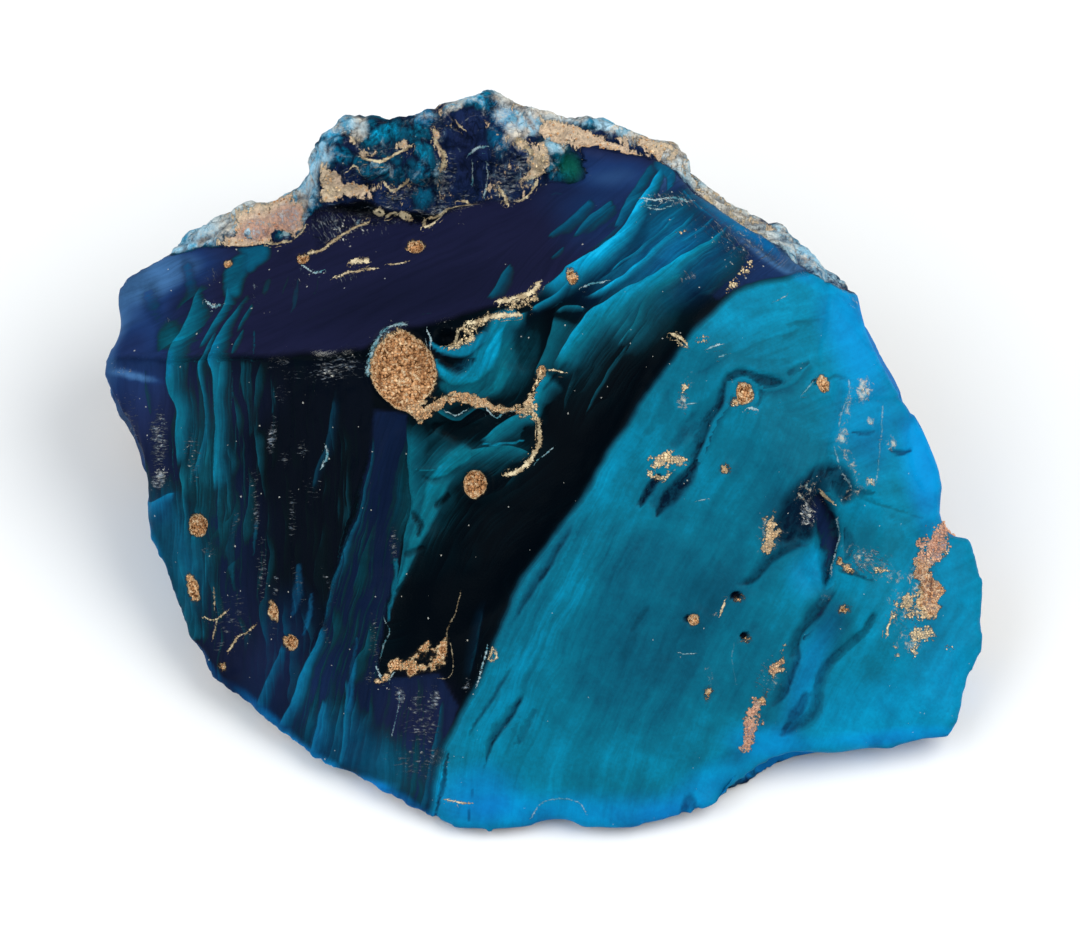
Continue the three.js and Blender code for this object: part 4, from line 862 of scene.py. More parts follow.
# Columns of fine pale ticks across the flow, and their strength.
tickSpots = [
    ((-34, 2.6), (0.9, 2.6), 0.95), ((-34, -1), (0.9, 0.9), 1), ((-31.3, 2.2), (0.5, 1.1), 0.7),
    ((-30.6, 0.6), (0.5, 2.6), 0.6), ((-23.9, 2.8), (0.45, 1.7), 0.95),
    ((-23.1, 6.4), (0.8, 0.8), 0.6, -40), ((-22.6, 0.9), (0.5, 0.7), 0.7), ((-21.2, 1.8), (0.6, 0.8), 0.6),
    ((-25.3, -1), (0.5, 1.2), 0.6), ((-25.2, -4), (0.4, 1.7), 0.8), ((-27, -5), (0.35, 1.8), 0.6),
    ((-25.8, -1), (0.3, 2), 0.4), ((-29.4, -7.4), (0.8, 0.8), 0.6, 30),
    ((-21.3, -10.4), (0.5, 1.8), 0.55, 8), ((-23.3, -10.6), (0.3, 1.2), 0.6),
    ((-19.3, -14), (0.3, 1.8), 0.5, 18), ((-18.6, -10.6), (0.25, 2), 0.6, 18),
    ((-20.2, -1.4), (0.8, 1.4), 0.45), ((-23.7, -14), (0.5, 1.6), 0.4), ((-13.1, -6.6), (0.4, 1.6), 0.7),
    ((-15.2, -18.6), (0.3, 1.4), 0.6), ((-9.4, -20.4), (0.6, 1), 1), ((-9.6, -23), (0.6, 2), 0.7),
    ((-12.4, -20.4), (0.5, 0.8), 0.9), ((-11.2, -20.6), (0.5, 0.5), 0.8), ((-12, -24.6), (2, 1.6), 0.25),
    ((-9.2, -25.6), (1.2, 1), 0.7), ((-18, 9), (2.4, 1.5), 0.75, 8), ((-23.2, 9.4), (1, 0.6), 0.6),
    ((-21, 8), (1.6, 0.6), 0.5), ((-29.4, 17.2), (0.7, 1), 0.5), ((-33, 13), (0.4, 0.5), 0.4),
    ((-36.4, 5.4), (0.8, 1.4), 0.4), ((-25.4, 15.6), (0.4, 1.2), 0.5), ((-21.6, 16.6), (0.8, 0.6), 0.5),
    ((-16.8, 17.2), (2.4, 0.5), 0.4, 12), ((-19, 21.8), (1.8, 1.8), 0.75, 20),
    ((-14.6, 21.6), (2.4, 1), 0.45, 10), ((-17, 23), (2.6, 0.8), 0.6), ((-12.8, 22.6), (2.4, 0.6), 0.4),
    ((-12.6, 24.6), (2.4, 0.9), 0.8, 20), ((-16, 26.4), (2, 0.8), 0.6), ((-15, 28.3), (2, 0.5), 0.8),
    ((-8.6, 25.6), (0.7, 2), 0.9), ((-7.8, 27.6), (0.5, 1.4), 0.6), ((-9, 23.2), (1.4, 0.8), 0.9, 20),
    ((-3, 25.6), (1.4, 2), 0.9), ((-1.4, 27.2), (1.2, 1.2), 0.9), ((-2.6, 28.8), (1.2, 1.4), 0.4),
    ((-9.4, 31), (1, 0.8), 0.7), ((-6.8, 24.4), (1.2, 0.5), 0.6), ((-1.4, 32.2), (2.6, 1), 0.5, -10),
    ((12, 23.8), (2.6, 0.7), 0.7, -8), ((17, 20.4), (3.6, 1.2), 0.6, -35),
    ((19.6, 19.4), (3, 0.8), 0.6, -35), ((13, 16.9), (1, 0.5), 0.6), ((-28, 21.4), (2, 1.6), 0.4, 20),
    ((20.6, -6), (1.2, 1.6), 0.6), ((24, -4), (0.9, 1.4), 0.9), ((29.6, -8.4), (2, 1.2), 0.7, -25),
    ((33, -13), (1.6, 1.6), 0.5), ((20.4, -18.2), (1, 2), 0.5, -22), ((12.8, 6), (0.5, 1.6), 0.6),
    ((-6.6, -19.2), (0.4, 0.6), 0.9), ((-28.6, -15.8), (0.4, 0.7), 0.7), ((-10.4, -22.4), (1.6, 2.4), 0.65),
    ((-11, -26.4), (2.4, 1.4), 0.55, -20), ((-14.6, -15), (0.5, 2.4), 0.6, 6),
    ((-27.4, -13), (1.4, 2), 0.5, -20), ((-24.6, -9), (0.5, 3), 0.6), ((-36.8, 4), (0.7, 2.4), 0.55, 14),
    ((-22, -4), (0.4, 2.4), 0.6),
]

# White sparks, partly painted glints and partly the white of chipped glass, and their strength.
glintSpots = [
    ((-19.3, 10.3), (1.2, 0.35), 1, 8), ((-17.3, 10.3), (0.7, 0.3), 0.9),
    ((-18.5, 8.4), (0.8, 0.5), 0.9, 20), ((-17.3, 9), (0.6, 0.3), 0.8, 30), ((-20, 7), (1.8, 1.2), 0.35),
    ((-29.2, 14.4), (0.6, 0.5), 0.7), ((-13.4, 12.5), (1.4, 0.4), 0.6, 15),
    ((-23.9, 2.4), (0.35, 1.8), 0.6), ((-22.7, 0.8), (0.35, 0.4), 0.7), ((-21, 1.3), (0.3, 0.35), 0.6),
    ((-25.4, -1), (0.3, 1), 0.5), ((-25.8, -5), (0.25, 1.2), 0.45), ((-22.9, 6.2), (0.9, 0.3), 0.5, -50),
    ((-31.2, 1), (0.5, 2.6), 0.55, 8), ((-34.1, 4.2), (0.8, 0.8), 0.55), ((-33.9, -0.6), (0.8, 1.2), 1),
    ((-33.8, 2), (0.7, 1), 0.6), ((-22.7, 21), (0.5, 0.3), 0.8), ((-14.3, 22.9), (0.6, 0.4), 0.8),
    ((-11.8, 22.8), (0.5, 0.3), 0.7), ((24.2, -4), (0.45, 0.9), 1, -10), ((23.5, -3.2), (0.35, 0.5), 0.7),
    ((17.3, 7.9), (0.9, 0.25), 0.6, 30), ((21.5, 7.2), (1.6, 0.2), 0.45, 15),
    ((-29.4, -5.1), (0.3, 0.8), 0.5), ((12, 23.8), (2.8, 0.8), 0.75, -8), ((16, 20), (4.5, 1.6), 0.5, -38),
    ((21.6, 18.6), (4, 0.8), 0.6, -38), ((24, -4), (1, 1.5), 0.9), ((29.6, -8.4), (2, 1.2), 0.6, -25),
    ((20, -3.8), (1.1, 0.9), 0.5), ((15, -17.6), (0.4, 1.4), 0.4), ((20.4, -18.2), (1, 2), 0.6, -22),
    ((33, -14), (1.8, 2.4), 0.35), ((12.6, 7), (0.5, 1.6), 0.45), ((12, 0.4), (1.6, 1.3), 0.5),
    ((-17, 21.6), (3, 1.6), 0.8, 25), ((-7, 23.2), (3, 0.7), 0.7, 5), ((-10, 25), (1, 3), 0.5),
    ((-12.2, -20.4), (2, 1.4), 0.5, -10), ((-10.6, -26), (2, 2.4), 0.4),
    ((-26.4, -15.4), (3.4, 2.4), 0.3, -35), ((30, 7), (1.4, 1), 0.4, 30), ((32.6, -5), (1.2, 0.8), 0.35),
    ((25, -9.6), (1.4, 0.6), 0.35, 40), ((24.2, -15), (0.7, 2.4), 0.3, -15),
    ((-8.6, 12.8), (1.2, 0.8), 0.5, 30), ((-3.2, 9), (0.8, 3), 0.15), ((-5.2, -26.4), (2.2, 2.6), 0.32),
    ((7, -27.2), (2.8, 0.7), 0.34), ((-16, 2), (1.6, 5), 0.12, 8), ((37, -20), (1.2, 2.6), 0.35),
]

# Bloom of worn, chalky skin, and its strength.
hazeSpots = [
    ((-36.8, 8.6), (1.5, 0.5), 0.3, -5), ((-32.6, -12), (0.6, 4), 0.12, 22),
    ((-20.6, 17.5), (0.7, 0.4), 0.3, -10), ((22.5, 20.2), (7, 0.8), 0.7, -36),
    ((19.4, 20.6), (4, 1.4), 0.16, -38), ((18.6, 20.6), (3, 1.4), 0.3, -38),
    ((28, 15.6), (1.4, 1.2), 0.4, -40), ((28.9, 7), (0.7, 1.1), 0.85, -10),
    ((26.8, 2.9), (0.5, 1), 0.8, -10), ((29.4, 4.1), (0.45, 0.5), 0.8), ((31.3, 2.3), (0.5, 0.6), 0.8),
    ((29.3, -1.3), (0.6, 0.45), 0.95, 10), ((28, -2.2), (1.2, 0.5), 0.5, 30),
    ((27.4, 5.4), (0.4, 2.2), 0.5, -16), ((27.4, 0.6), (0.4, 2.2), 0.5, 20), ((12.7, 6), (0.4, 0.9), 0.8),
    ((31.2, -9.6), (1.4, 0.8), 0.5, -10), ((32.6, -12), (1.4, 1.6), 0.55), ((33.4, -10), (0.8, 1.6), 0.5),
    ((29.2, -8), (2, 0.9), 0.5, -25), ((33, -15.4), (1.4, 1.2), 0.5), ((20.2, -6), (0.8, 1.8), 0.6),
    ((31.6, -14), (0.3, 1.2), 0.5), ((23.8, -2), (1.1, 1.2), 0.5, -30), ((22.6, 5.8), (0.3, 0.3), 0.4),
    ((20.6, -18.8), (1, 1.1), 0.3, -20), ((25.2, -11.4), (0.6, 0.5), 0.4), ((14.9, -18.4), (0.5, 1), 0.35),
    ((15.4, -13), (0.5, 0.4), 0.35), ((13.4, 8), (0.7, 1.2), 0.25), ((30.4, 10), (0.5, 1.6), 0.3, 20),
    ((29.4, 13.2), (0.3, 2.4), 0.3, 20), ((13.6, -26), (1.6, 0.8), 0.12),
]

# Weathered rind along the crest, seen from the front: its lower border on the show side.
rindBorder = [(-42, 17.6), (-38.4, 17), (-36, 17.8), (-33.4, 19.1), (-30, 20), (-26, 20.1), (-24, 19.9),
              (-22.2, 20.1), (-21.2, 21), (-20.9, 22.4), (-20.2, 23.4), (-18.5, 23.8), (-15.8, 24.2),
              (-13.4, 23.2), (-11, 23), (-9, 22.8), (-7.4, 23.4), (-4, 23.9), (-1.8, 24), (-0.6, 25),
              (1, 25.6), (2.6, 25.6), (4, 26.2), (3.8, 28.2), (4, 28.8), (6, 28.5), (8.5, 28), (10, 27.6),
              (11.4, 27), (14, 24.8), (16, 24.2), (17.5, 22.8), (20, 20.6), (22, 19), (24, 17.4),
              (26.5, 16.2), (29, 15.2), (31.6, 12), (34, 8)]

# Rough glass under it, on the left.
rindRough = [(-20.6, 23), (-20, 19.4), (-18, 20.8), (-16, 21.8), (-13, 21.6), (-10.4, 21.5), (-9, 22.3),
             (-7.4, 23.4), (-9, 25), (-16, 25.5)]

# Rind colours on the crest: sand, haze, rust and green shifts, and those of the glass beneath.
rindSpots = [
    # the low tongue on the left
    ((-31.6, 21), (2.2, 1.8), dict(teal=0.76, azure=0.15, haze=0.4, sand=-0.9), 20),
    ((-31, 19.9), (2.4, 0.7), dict(teal=0.6, azure=0.25, haze=0.4, sand=-0.4), 12),
    ((-28, 22.6), (2.6, 1.2), dict(haze=0.62, teal=0.5, sand=0.1, rust=-0.5), 22),
    ((-24.2, 24), (2.6, 0.8), dict(haze=0.75, teal=0.4, sand=0.2, rust=-0.5), 15),
    ((-26, 21.8), (1.7, 1.3), dict(rust=0.9, sand=1, haze=0.6), 20),
    ((-22.6, 22.8), (1.5, 1.5), dict(rust=0.95, sand=1.1, haze=0.6), 10),
    ((-24.4, 21), (1.6, 0.6), dict(rust=0.6, sand=0.7), 10),
    ((-27, 20.4), (2.6, 0.35), dict(sand=0.85, rust=-0.5), -3),
    ((-23.4, 20.9), (0.6, 0.5), dict(teal=0.6, sand=-1.6, haze=0.2)),
    ((-20.2, 22.9), (1, 0.8), dict(teal=0.5, azure=0.3, sand=-1), 30),
    # the block
    ((-20.8, 26), (0.9, 2.4), dict(teal=0.74, azure=0.25, haze=0.5, sand=-0.9), 5),
    ((-20, 28), (1.2, 1.2), dict(teal=0.72, azure=0.35, haze=0.65, sand=-0.6), 40),
    ((-19.2, 26.2), (0.9, 1.3), dict(sand=1, rust=-0.45), 8),
    ((-18.7, 24.8), (1.3, 0.6), dict(sand=1, rust=-0.4), 5),
    ((-16.7, 25.2), (1.3, 0.55), dict(sand=0.9, rust=-0.4), -3),
    ((-20.2, 23.8), (1, 0.3), dict(sand=0.7, rust=-0.6), 20),
    ((-18.8, 29.4), (1, 1.6), dict(teal=0.8, azure=0.2, haze=0.24, sand=-0.6), 10),
    ((-17.5, 30.6), (1.3, 0.9), dict(teal=0.76, azure=0.15, haze=0.4, sand=-0.5), 20),
    ((-16.1, 30.4), (0.6, 1.3), dict(haze=0.7, teal=0.4, sand=0.4, rust=-0.6), -10),
    ((-16.4, 29.3), (0.7, 0.6), dict(sand=0.5, rust=-0.5), 20),
    ((-14, 30.2), (2.2, 1.5), dict(teal=0.86, azure=0.05, haze=-0.05, sand=-0.8), 5),
    ((-12.6, 28.7), (0.9, 0.45), dict(sand=1, rust=-0.45), 10),
    ((-14.8, 28.2), (1.6, 0.35), dict(sand=0.5, rust=-0.4), -3),
    ((-17.6, 27.8), (1.4, 0.7), dict(teal=0.6, azure=0.1, sand=-0.3)),
    ((-13.8, 26.8), (2.4, 1.1), dict(teal=0.5, azure=0.1, haze=0.1, sand=-0.6)),
    ((-10.6, 29), (0.9, 2.2), dict(teal=0.7, azure=0, haze=0.1, sand=-0.6)),
    ((-10, 31.6), (1.3, 0.7), dict(teal=0.6, azure=0.6, haze=0.3, sand=-0.5)),
    ((-9.1, 30.1), (0.4, 0.4), dict(sand=0.8, rust=-0.2)),
    ((-10.4, 25.2), (1.1, 2), dict(teal=0.5, azure=0.15, haze=0.1, sand=-0.2)),
    ((-9.1, 26), (0.5, 1.4), dict(teal=0.5, haze=0.35)),
    ((-8.7, 28.3), (0.4, 0.9), dict(sand=0.9, rust=-0.4), 10),
    ((-6.6, 28.4), (1.5, 3.4), dict(teal=-0.1, ink=0.1, blue=-0.3, haze=-0.3, sand=-0.9)),
    ((-5.2, 33.1), (1.2, 0.9), dict(teal=0.85, azure=0.1, haze=0.15, sand=-0.9)),
    ((-7, 32.7), (1.4, 0.5), dict(teal=0.5, azure=0.2, haze=0.8, sand=-0.4), 20),
    ((-2.8, 33.2), (1.3, 0.6), dict(haze=0.9, sand=0.3, rust=-0.7), -10),
    ((-2.6, 31.6), (1.9, 1), dict(teal=0.6, azure=0.5, haze=0.6, sand=-0.3), -20),
    ((-0.8, 30.9), (1, 0.8), dict(teal=0.6, azure=0.6, haze=0.4, sand=-0.3)),
    ((-3.4, 30), (1.2, 2), dict(teal=0.5, azure=0.5, haze=0.2)),
    ((-2, 29.6), (0.7, 1.2), dict(haze=0.5, sand=0.2, rust=-0.6), 20),
    ((-9, 24.4), (1.6, 0.8), dict(haze=0.1, sand=0.1, ink=-0.2), 20),
    ((-2.6, 26), (1.6, 1.6), dict(rust=0.3, haze=0.15, sand=0.15, ink=-0.2)),
    # the run down to the right
    ((0.1, 28.2), (0.8, 1.2), dict(sand=0.95, rust=-0.4), 10),
    ((0, 26.3), (1, 0.35), dict(sand=0.9, rust=-0.5)),
    ((-0.2, 27.2), (0.9, 1), dict(sand=0.7, rust=-0.4, haze=0.5)),
    ((1.4, 29), (1.4, 0.7), dict(haze=0.6, teal=0.5, green=0.3, sand=-0.2), -20),
    ((1.2, 27.4), (0.9, 1.2), dict(teal=0.5, haze=0.2, sand=-0.4)),
    ((2.6, 27), (0.9, 0.9), dict(sand=-1.2, green=0.8, haze=-0.2, teal=0.4)),
    ((1.6, 26.2), (1, 0.7), dict(sand=-0.6, teal=0.6, azure=0.1)),
    ((1.2, 30.4), (1.3, 0.8), dict(sand=1, rust=-0.2), -25),
    ((3.6, 29.8), (1.8, 0.7), dict(sand=1, rust=-0.2), -20),
    ((6.4, 28.8), (2.2, 0.55), dict(sand=1, rust=-0.1), -16),
    ((0.8, 32), (2, 0.7), dict(haze=0.9, sand=0.4, rust=-0.6), -14),
    ((4.6, 31.2), (1.6, 0.8), dict(azure=0.1, teal=0.6, haze=0.5, sand=-1)),
    ((8.9, 29.7), (1.6, 0.6), dict(sand=0.75, rust=-0.3, haze=0.5), -20),
    ((8, 30.7), (2.2, 0.6), dict(haze=1, teal=0.3, sand=0.1), -10),
    ((10.8, 28.4), (1.2, 0.7), dict(sand=0.6, rust=-0.3, haze=0.4), -30),
    ((12.6, 27.4), (2, 0.8), dict(haze=1, teal=0.3, sand=0.15, rust=-0.4), -45),
    ((15.2, 25), (1.8, 0.45), dict(haze=0.8, sand=0.5, rust=-0.6), -47),
    ((16.6, 25.2), (2.6, 0.9), dict(haze=1, teal=0.4, sand=0.1, rust=-0.4), -45),
    ((22.4, 20.8), (3.4, 0.9), dict(haze=0.4, teal=0.4, azure=0.2, blue=0.8, sand=-0.1), -42),
    ((19, 22), (3.6, 0.9), dict(haze=0.8, teal=0.3, sand=0.25, rust=-0.6), -42),
    ((25, 17.6), (3.6, 0.9), dict(haze=0.45, teal=0.4, azure=0.4, blue=0.8, sand=-0.5), -38),
]

# Dents in the outline, and bumps where the depth is below 0.
dents = [
    ((19.6, -27.6), (4.4, 2.2), 1.3, 15), ((29, -25.6), (4, 1), 0.3, 5), ((33.4, 7.8), (1.2, 2), 0.5, 20),
    ((-37, 1), (1.8, 4.8), 0.65, 16), ((-33.6, -8.8), (1.8, 3.6), 0.5, 26),
    ((31.6, 10.4), (1.6, 5), -0.4, 22), ((37, 0), (1.4, 5), 0.6), ((39, -14), (1.4, 6), 0.25),
    ((33, -24.6), (4, 0.8), 0.4, 4), ((-38.6, 12.2), (1.3, 2.6), 0.6, -10),
    ((38.2, -19.6), (1.2, 2.6), 0.4), ((35.2, 4), (1.4, 4), 0.4, 15), ((21, -28), (4, 1.4), 0.9, 20),
    ((0.6, -31.4), (4.4, 1.2), 0.25, 4), ((-5.1, 33.6), (1.6, 1.1), -0.4),
    ((-18.8, 31.2), (1.4, 1), 0.6, 30), ((-9.6, 32.2), (2.4, 0.8), -0.4, 8),
    ((12.2, 28.2), (1.4, 0.8), -0.6, -30), ((-21.2, 28.4), (1.2, 1.6), 0.9),
    ((16.2, 25), (4.2, 1.8), 1.1, -42),
]

# ---- the stone
stone = {
    "weld": 0.002,  # all sizes here are in millimetres
    "gridSize": 0.6,
    "smoothRounds": 2,
    "finerFacing": 0.08,  # the skin is finer from this facing and this height up
    "finerFrom": 0.9,
    "swell": 0.3,  # makes up for what the smoothing takes off
    "wander": [(4, 0.35, (3.1, 11.7)), (1.1, 0.1, (5.3, 17.9))],  # width, how far, and its two layers
    "wobble": [(9, 0.28), (3.2, 0.12), (1.3, 0.045)],  # width and height
    "foldHeight": 0.42,
    "ridgeHeight": 0.2,
    "fineRidgeHeight": 0.07,
    "fanRidgeHeight": 0.12,
    "fanFineHeight": 0.05,
    "rippleHeight": 0.12,
    "bigLumpHeight": 0.75,
    "smallLumpHeight": 0.4,
    "tinyLumpHeight": 0.14,
    "chipHeight": 0.2,
    "plugRimHeight": 0.16,
    "seamHeight": 0.08,
    "grainHeight": 0.12,
    "fineGrainHeight": 0.07,
    "brightTeal": 0.675,
    "brightAzure": 0.12,
    # azure painted round the outline as a glow of light through the thin edge
    "rimGlowAzure": 0.75,
    "topTurn": 25,  # which way the flow runs on the top face, in degrees
    "upperLean": 0.42,  # how the flow leans above this height
    "leanFrom": 9.5,
    "fanFoot": 22,  # how the flow spreads from the fan's foot
    "fanLean": 0.13,
    "fanSpread": 0.02,
    "foldRun": 44,  # about how long the two guides are
    "brightRun": 56,
}
# Two lines that the flow follows: the sheaf of folds and the ridge of the bright face.
foldGuide = [(16, 24), (11, 20), (7, 16.5), (3.5, 12), (1, 8),
             (-1, 4), (-5, 1), (-8.5, -2), (-11, -6), (-13, -11)]
brightGuide = [(26, 14), (17, 10), (14, 4), (8, -6), (3, -16), (-1, -26), (-2, -32)]


def roundedCopy():
    # one closed, evenly meshed skin from the CAD shape, finer where the show side faces the viewer
    form = bmesh.new()
    form.from_mesh(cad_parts["stone"].data)
    bmesh.ops.remove_doubles(form, verts=form.verts, dist=stone["weld"] * mm)
    cast = putInScene("stone cast", meshFrom(form, "stone cast"))
    remesh = cast.modifiers.new("even grid", "REMESH")
    remesh.mode = "VOXEL"
    remesh.voxel_size = stone["gridSize"] * mm
    even = bpy.data.meshes.new_from_object(cast.evaluated_get(bpy.context.evaluated_depsgraph_get()))
    bpy.data.objects.remove(cast)
    form = bmesh.new()
    form.from_mesh(even)
    for _ in range(stone["smoothRounds"]):
        bmesh.ops.smooth_vert(form, verts=form.verts, factor=0.5, use_axis_x=True, use_axis_y=True,
                              use_axis_z=True)
    form.normal_update()
    toward = Vector(towardWay)
    shown = [face for face in form.faces
             if face.normal.dot(toward) > stone["finerFacing"]
             and face.calc_center_median().z > stone["finerFrom"] * mm]
    edges = {edge for face in shown for edge in face.edges}
    bmesh.ops.subdivide_edges(form, edges=list(edges), cuts=1, use_grid_fill=True, smooth=0.6)
    bmesh.ops.triangulate(form, faces=[face for face in form.faces if len(face.verts) > 4])
    return meshFrom(form, "turquoise stone")


def placesAndNormals(mesh):
    places = np.empty(len(mesh.vertices) * 3)
    mesh.vertices.foreach_get("co", places)
    normals = np.empty(len(mesh.vertices) * 3)
    mesh.vertex_normals.foreach_get("vector", normals)
    return places.reshape(-1, 3) / mm, normals.reshape(-1, 3)


def addTones(tones, spots, patches):
    for middle, halfSizes, shifts, *turn in patches:
        weight = ovalOn(spots, middle, halfSizes, *turn, soft=0.7)
        for name, shift in shifts.items():
            tones[name] += weight * shift


def newSheet(count, side):
    return {"body": np.zeros(count), "side": np.full(count, side)}


def layOn(sheet, near, body, side):
    # where this stroke is stronger than what the sheet has, it takes its place
    stronger = body > sheet["body"][near]
    sheet["body"][near[stronger]] = body[stronger]
    sheet["side"][near[stronger]] = side[stronger]


def freest(sheets, near, body):
    # the sheet on which a stroke overlaps the others least
    return min(sheets, key=lambda sheet: (sheet["body"][near] * body).sum())


class Drawing:
    # everything that is drawn on the stone, as one value for each point of its skin
    toneNames = (
        "teal", "azure", "ink", "blue", "green", "curtain",
        "ticks", "glint", "haze", "sand", "rust", "rim",
    )

    def __init__(self, places, normals):
        self.places = places
        self.count = len(places)
        self.facing = normals @ towardWay
        shift = 0
        for width, amount, layers in stone["wander"]:
            shift = shift + np.stack([noiseAt(places, width, layer) for layer in layers], axis=1) * amount
        self.spots = (places - showMiddle) @ np.stack((acrossWay, upWay), axis=1) + shift
        self.tones = self.noTones()
        self.height = np.full(self.count, stone["swell"])
        self.tintFaces()
        self.layFlow()
        print("  faces and flow laid out")
        self.drawFolds()
        self.cutGashes()
        print("  folds and gashes drawn")
        self.fillSand()
        self.drawThreads()
        self.pierceHoles()
        self.growRind()
        print("  sand and rind laid out")
        self.raiseHeight()

    def noTones(self):
        return {name: np.zeros(self.count) for name in self.toneNames}

    def tintFaces(self):
        tones, spots = self.tones, self.spots
        self.masks = masks = {}
        for name, face in faces.items():
            masks[name] = easeStep(-face["edge"], face["edge"], depthInside(spots, face["outline"]))
        self.bright = bright = easeStep(-0.45, 0.45, depthInside(spots, brightFace))
        masks["top"] *= 1 - bright
        for name, face in faces.items():
            for tone in ("ink", "blue", "teal"):
                blend(tones[tone], face[tone], masks[name])
        blend(tones["teal"], stone["brightTeal"], bright)
        blend(tones["azure"], stone["brightAzure"], bright)
        # painted rim light: the azure, teal and blue added below stand in for light shining through the thin
        # glass round the outline
        rim = easeStep(0.38, 0.02, self.facing)  # thin glass round the outline glows blue
        tones["rim"] += easeStep(0.5, 0.2, self.facing)
        tones["azure"] += stone["rimGlowAzure"] * rim
        tones["teal"] += (0.12 + 0.3 * easeStep(-30, -18, spots[:, 0])) * rim * (1 - bright)
        tones["blue"] += 0.9 * rim * easeStep(-24, -32, spots[:, 0])
        addTones(tones, spots, tonePatches)
        tones["curtain"] = strongestOf(spots, curtains, 0.6)
        tones["ticks"] = strongestOf(spots, tickSpots, 0.6)
        tones["glint"] = strongestOf(spots, glintSpots, 0.6)
        tones["haze"] = strongestOf(spots, hazeSpots, 0.7)

    def layFlow(self):
        # across and along the flow of the glass, and how far round the side, 0 in front and 1 behind
        spots, masks, bright = self.spots, self.masks, self.bright
        x, y = spots.T
        across = x - stone["upperLean"] * np.maximum(0, y - stone["leanFrom"])
        along = y.copy()
        rise = y + stone["fanFoot"]
        blend(across, (x + stone["fanLean"] * rise) / (1 - stone["fanSpread"] * rise), masks["fan"])
        turn = math.radians(stone["topTurn"])
        blend(across, -math.sin(turn) * x + math.cos(turn) * y, masks["top"])
        blend(along, math.cos(turn) * x + math.sin(turn) * y, masks["top"])
        distance, side, run = measureLine(spots, roundedLine(foldGuide))
        near = easeStep(9.5, 6, distance) * (1 - bright) * (1 - masks["fan"]) * (1 - masks["left"])
        blend(across, distance * side, near)
        blend(along, run * stone["foldRun"], near)
        distance, side, run = measureLine(spots, roundedLine(brightGuide))
        blend(across, distance * side, bright)
        blend(along, run * stone["brightRun"], bright)
        self.flow = np.stack((across, along, easeStep(0.3, 0.05, self.facing)), axis=1)

    def drawFolds(self):
        # folds go on three sheets, each on the one where it overlaps the least, to keep the crisp edges
        self.sheets = [newSheet(self.count, -1.0) for _ in range(3)]
        azureTone = self.tones["azure"]
        for line, halfWidths, strength, lean, azure in folds:
            near, body, inside = foldOn(self.spots, line, halfWidths, lean)
            body = body * strength
            layOn(freest(self.sheets, near, body), near, body, inside)
            shown = body * easeStep(-0.1, 0.15, inside)
            azureTone[near] += (azure - azureTone[near]) * np.clip(shown * 1.4, 0, 1)
            self.height[near] += 0.5 * shown * stone["foldHeight"]

    def cutGashes(self):
        self.cut = newSheet(self.count, -1.0)
        # gashes: their dark is partly painted shade in the hollow
        for line, halfWidths, strength, depth, lean in gashes:
            near, body, inside = foldOn(self.spots, line, halfWidths, lean)
            layOn(self.cut, near, body * strength, inside)
            self.height[near] -= body * easeStep(-0.1, 0.15, inside) * depth
        for line, halfWidths, drop, lean, shade in ledges:
            near, body, inside = foldOn(self.spots, line, halfWidths, lean)
            self.height[near] -= body * easeStep(-0.15, 0.15, inside) * drop
            # painted shade at the foot of the step
            layOn(self.cut, near, body**3 * shade, inside)

    def fillSand(self):
        # above 0 where sand covers the glass, in mm from its edge
        places, spots, height, rust = self.places, self.spots, self.height, self.tones["rust"]
        self.sand = sand = np.full(self.count, -3.0)
        crumble = noiseAt(places, 1.0, 27.5) + 0.5 * noiseAt(places, 0.45, 33.1)
        frayed = 0.35 * noiseAt(places, 0.8, 51.3) + 0.5 * noiseAt(places * np.array((1, 1, 1.6)), 0.42, 45.9)
        for middle, halfSizes, depth, *turn in sandPlugs:
            edge = (1 - reachOn(spots, middle, halfSizes, *turn)) * min(halfSizes)
            sand[:] = np.maximum(sand, edge * (2.6 if min(halfSizes) > 0.38 else 1.2))
            height -= depth * easeStep(-0.1, 0.22, edge)
            rim = easeStep(0.55, 0.05, np.abs(edge + 0.22))
            height += stone["plugRimHeight"] * min(halfSizes) ** 0.5 * rim
        for line, halfWidths, fill, cream in sandSeams:
            near, curve = nearLine(spots, line, max(halfWidths) + 2)
            distance, _, run = measureLine(spots[near], curve)
            half = widthAlong(run, halfWidths) * (1.05 + 0.9 * crumble[near])
            fray = frayed[near] * (0.25 + half)
            sand[near] = np.maximum(sand[near], 1.4 * (half - distance) - (1 - fill) * 0.6 + fray)
            height[near] += stone["seamHeight"] * easeStep(-0.1, 0.3, half - distance + fray)
            rust[near] -= (cream + rust[near]) * easeStep(-0.5, 0, half - distance)  # below 0 is cream

    def drawThreads(self):
        # thin lines keep their signed distance, in half-widths, on whichever sheet is free there
        self.threads = [newSheet(self.count, 5.0) for _ in range(3)]
        for threads, sheets in ((sandThreads, self.threads[:2]), (chipThreads, self.threads[2:])):
            for line, halfWidth, strength in threads:
                near, curve = nearLine(self.spots, line, 0.6)
                distance, side, _ = measureLine(self.spots[near], curve)
                body = easeStep(0.55, 0.35, distance) * strength
                layOn(freest(sheets, near, body), near, body, distance * side / halfWidth)

    def pierceHoles(self):
        holes = np.zeros(self.count)
        for middle, halfSizes, depth, *turn in openHoles:
            hole = ovalOn(self.spots, middle, halfSizes, *turn, soft=0.35)
            self.height -= hole * depth
            holes = np.maximum(holes, hole)
        self.tones["teal"] *= 1 - holes
        for sheet in self.sheets:
            sheet["body"] *= 1 - holes

    def growRind(self):
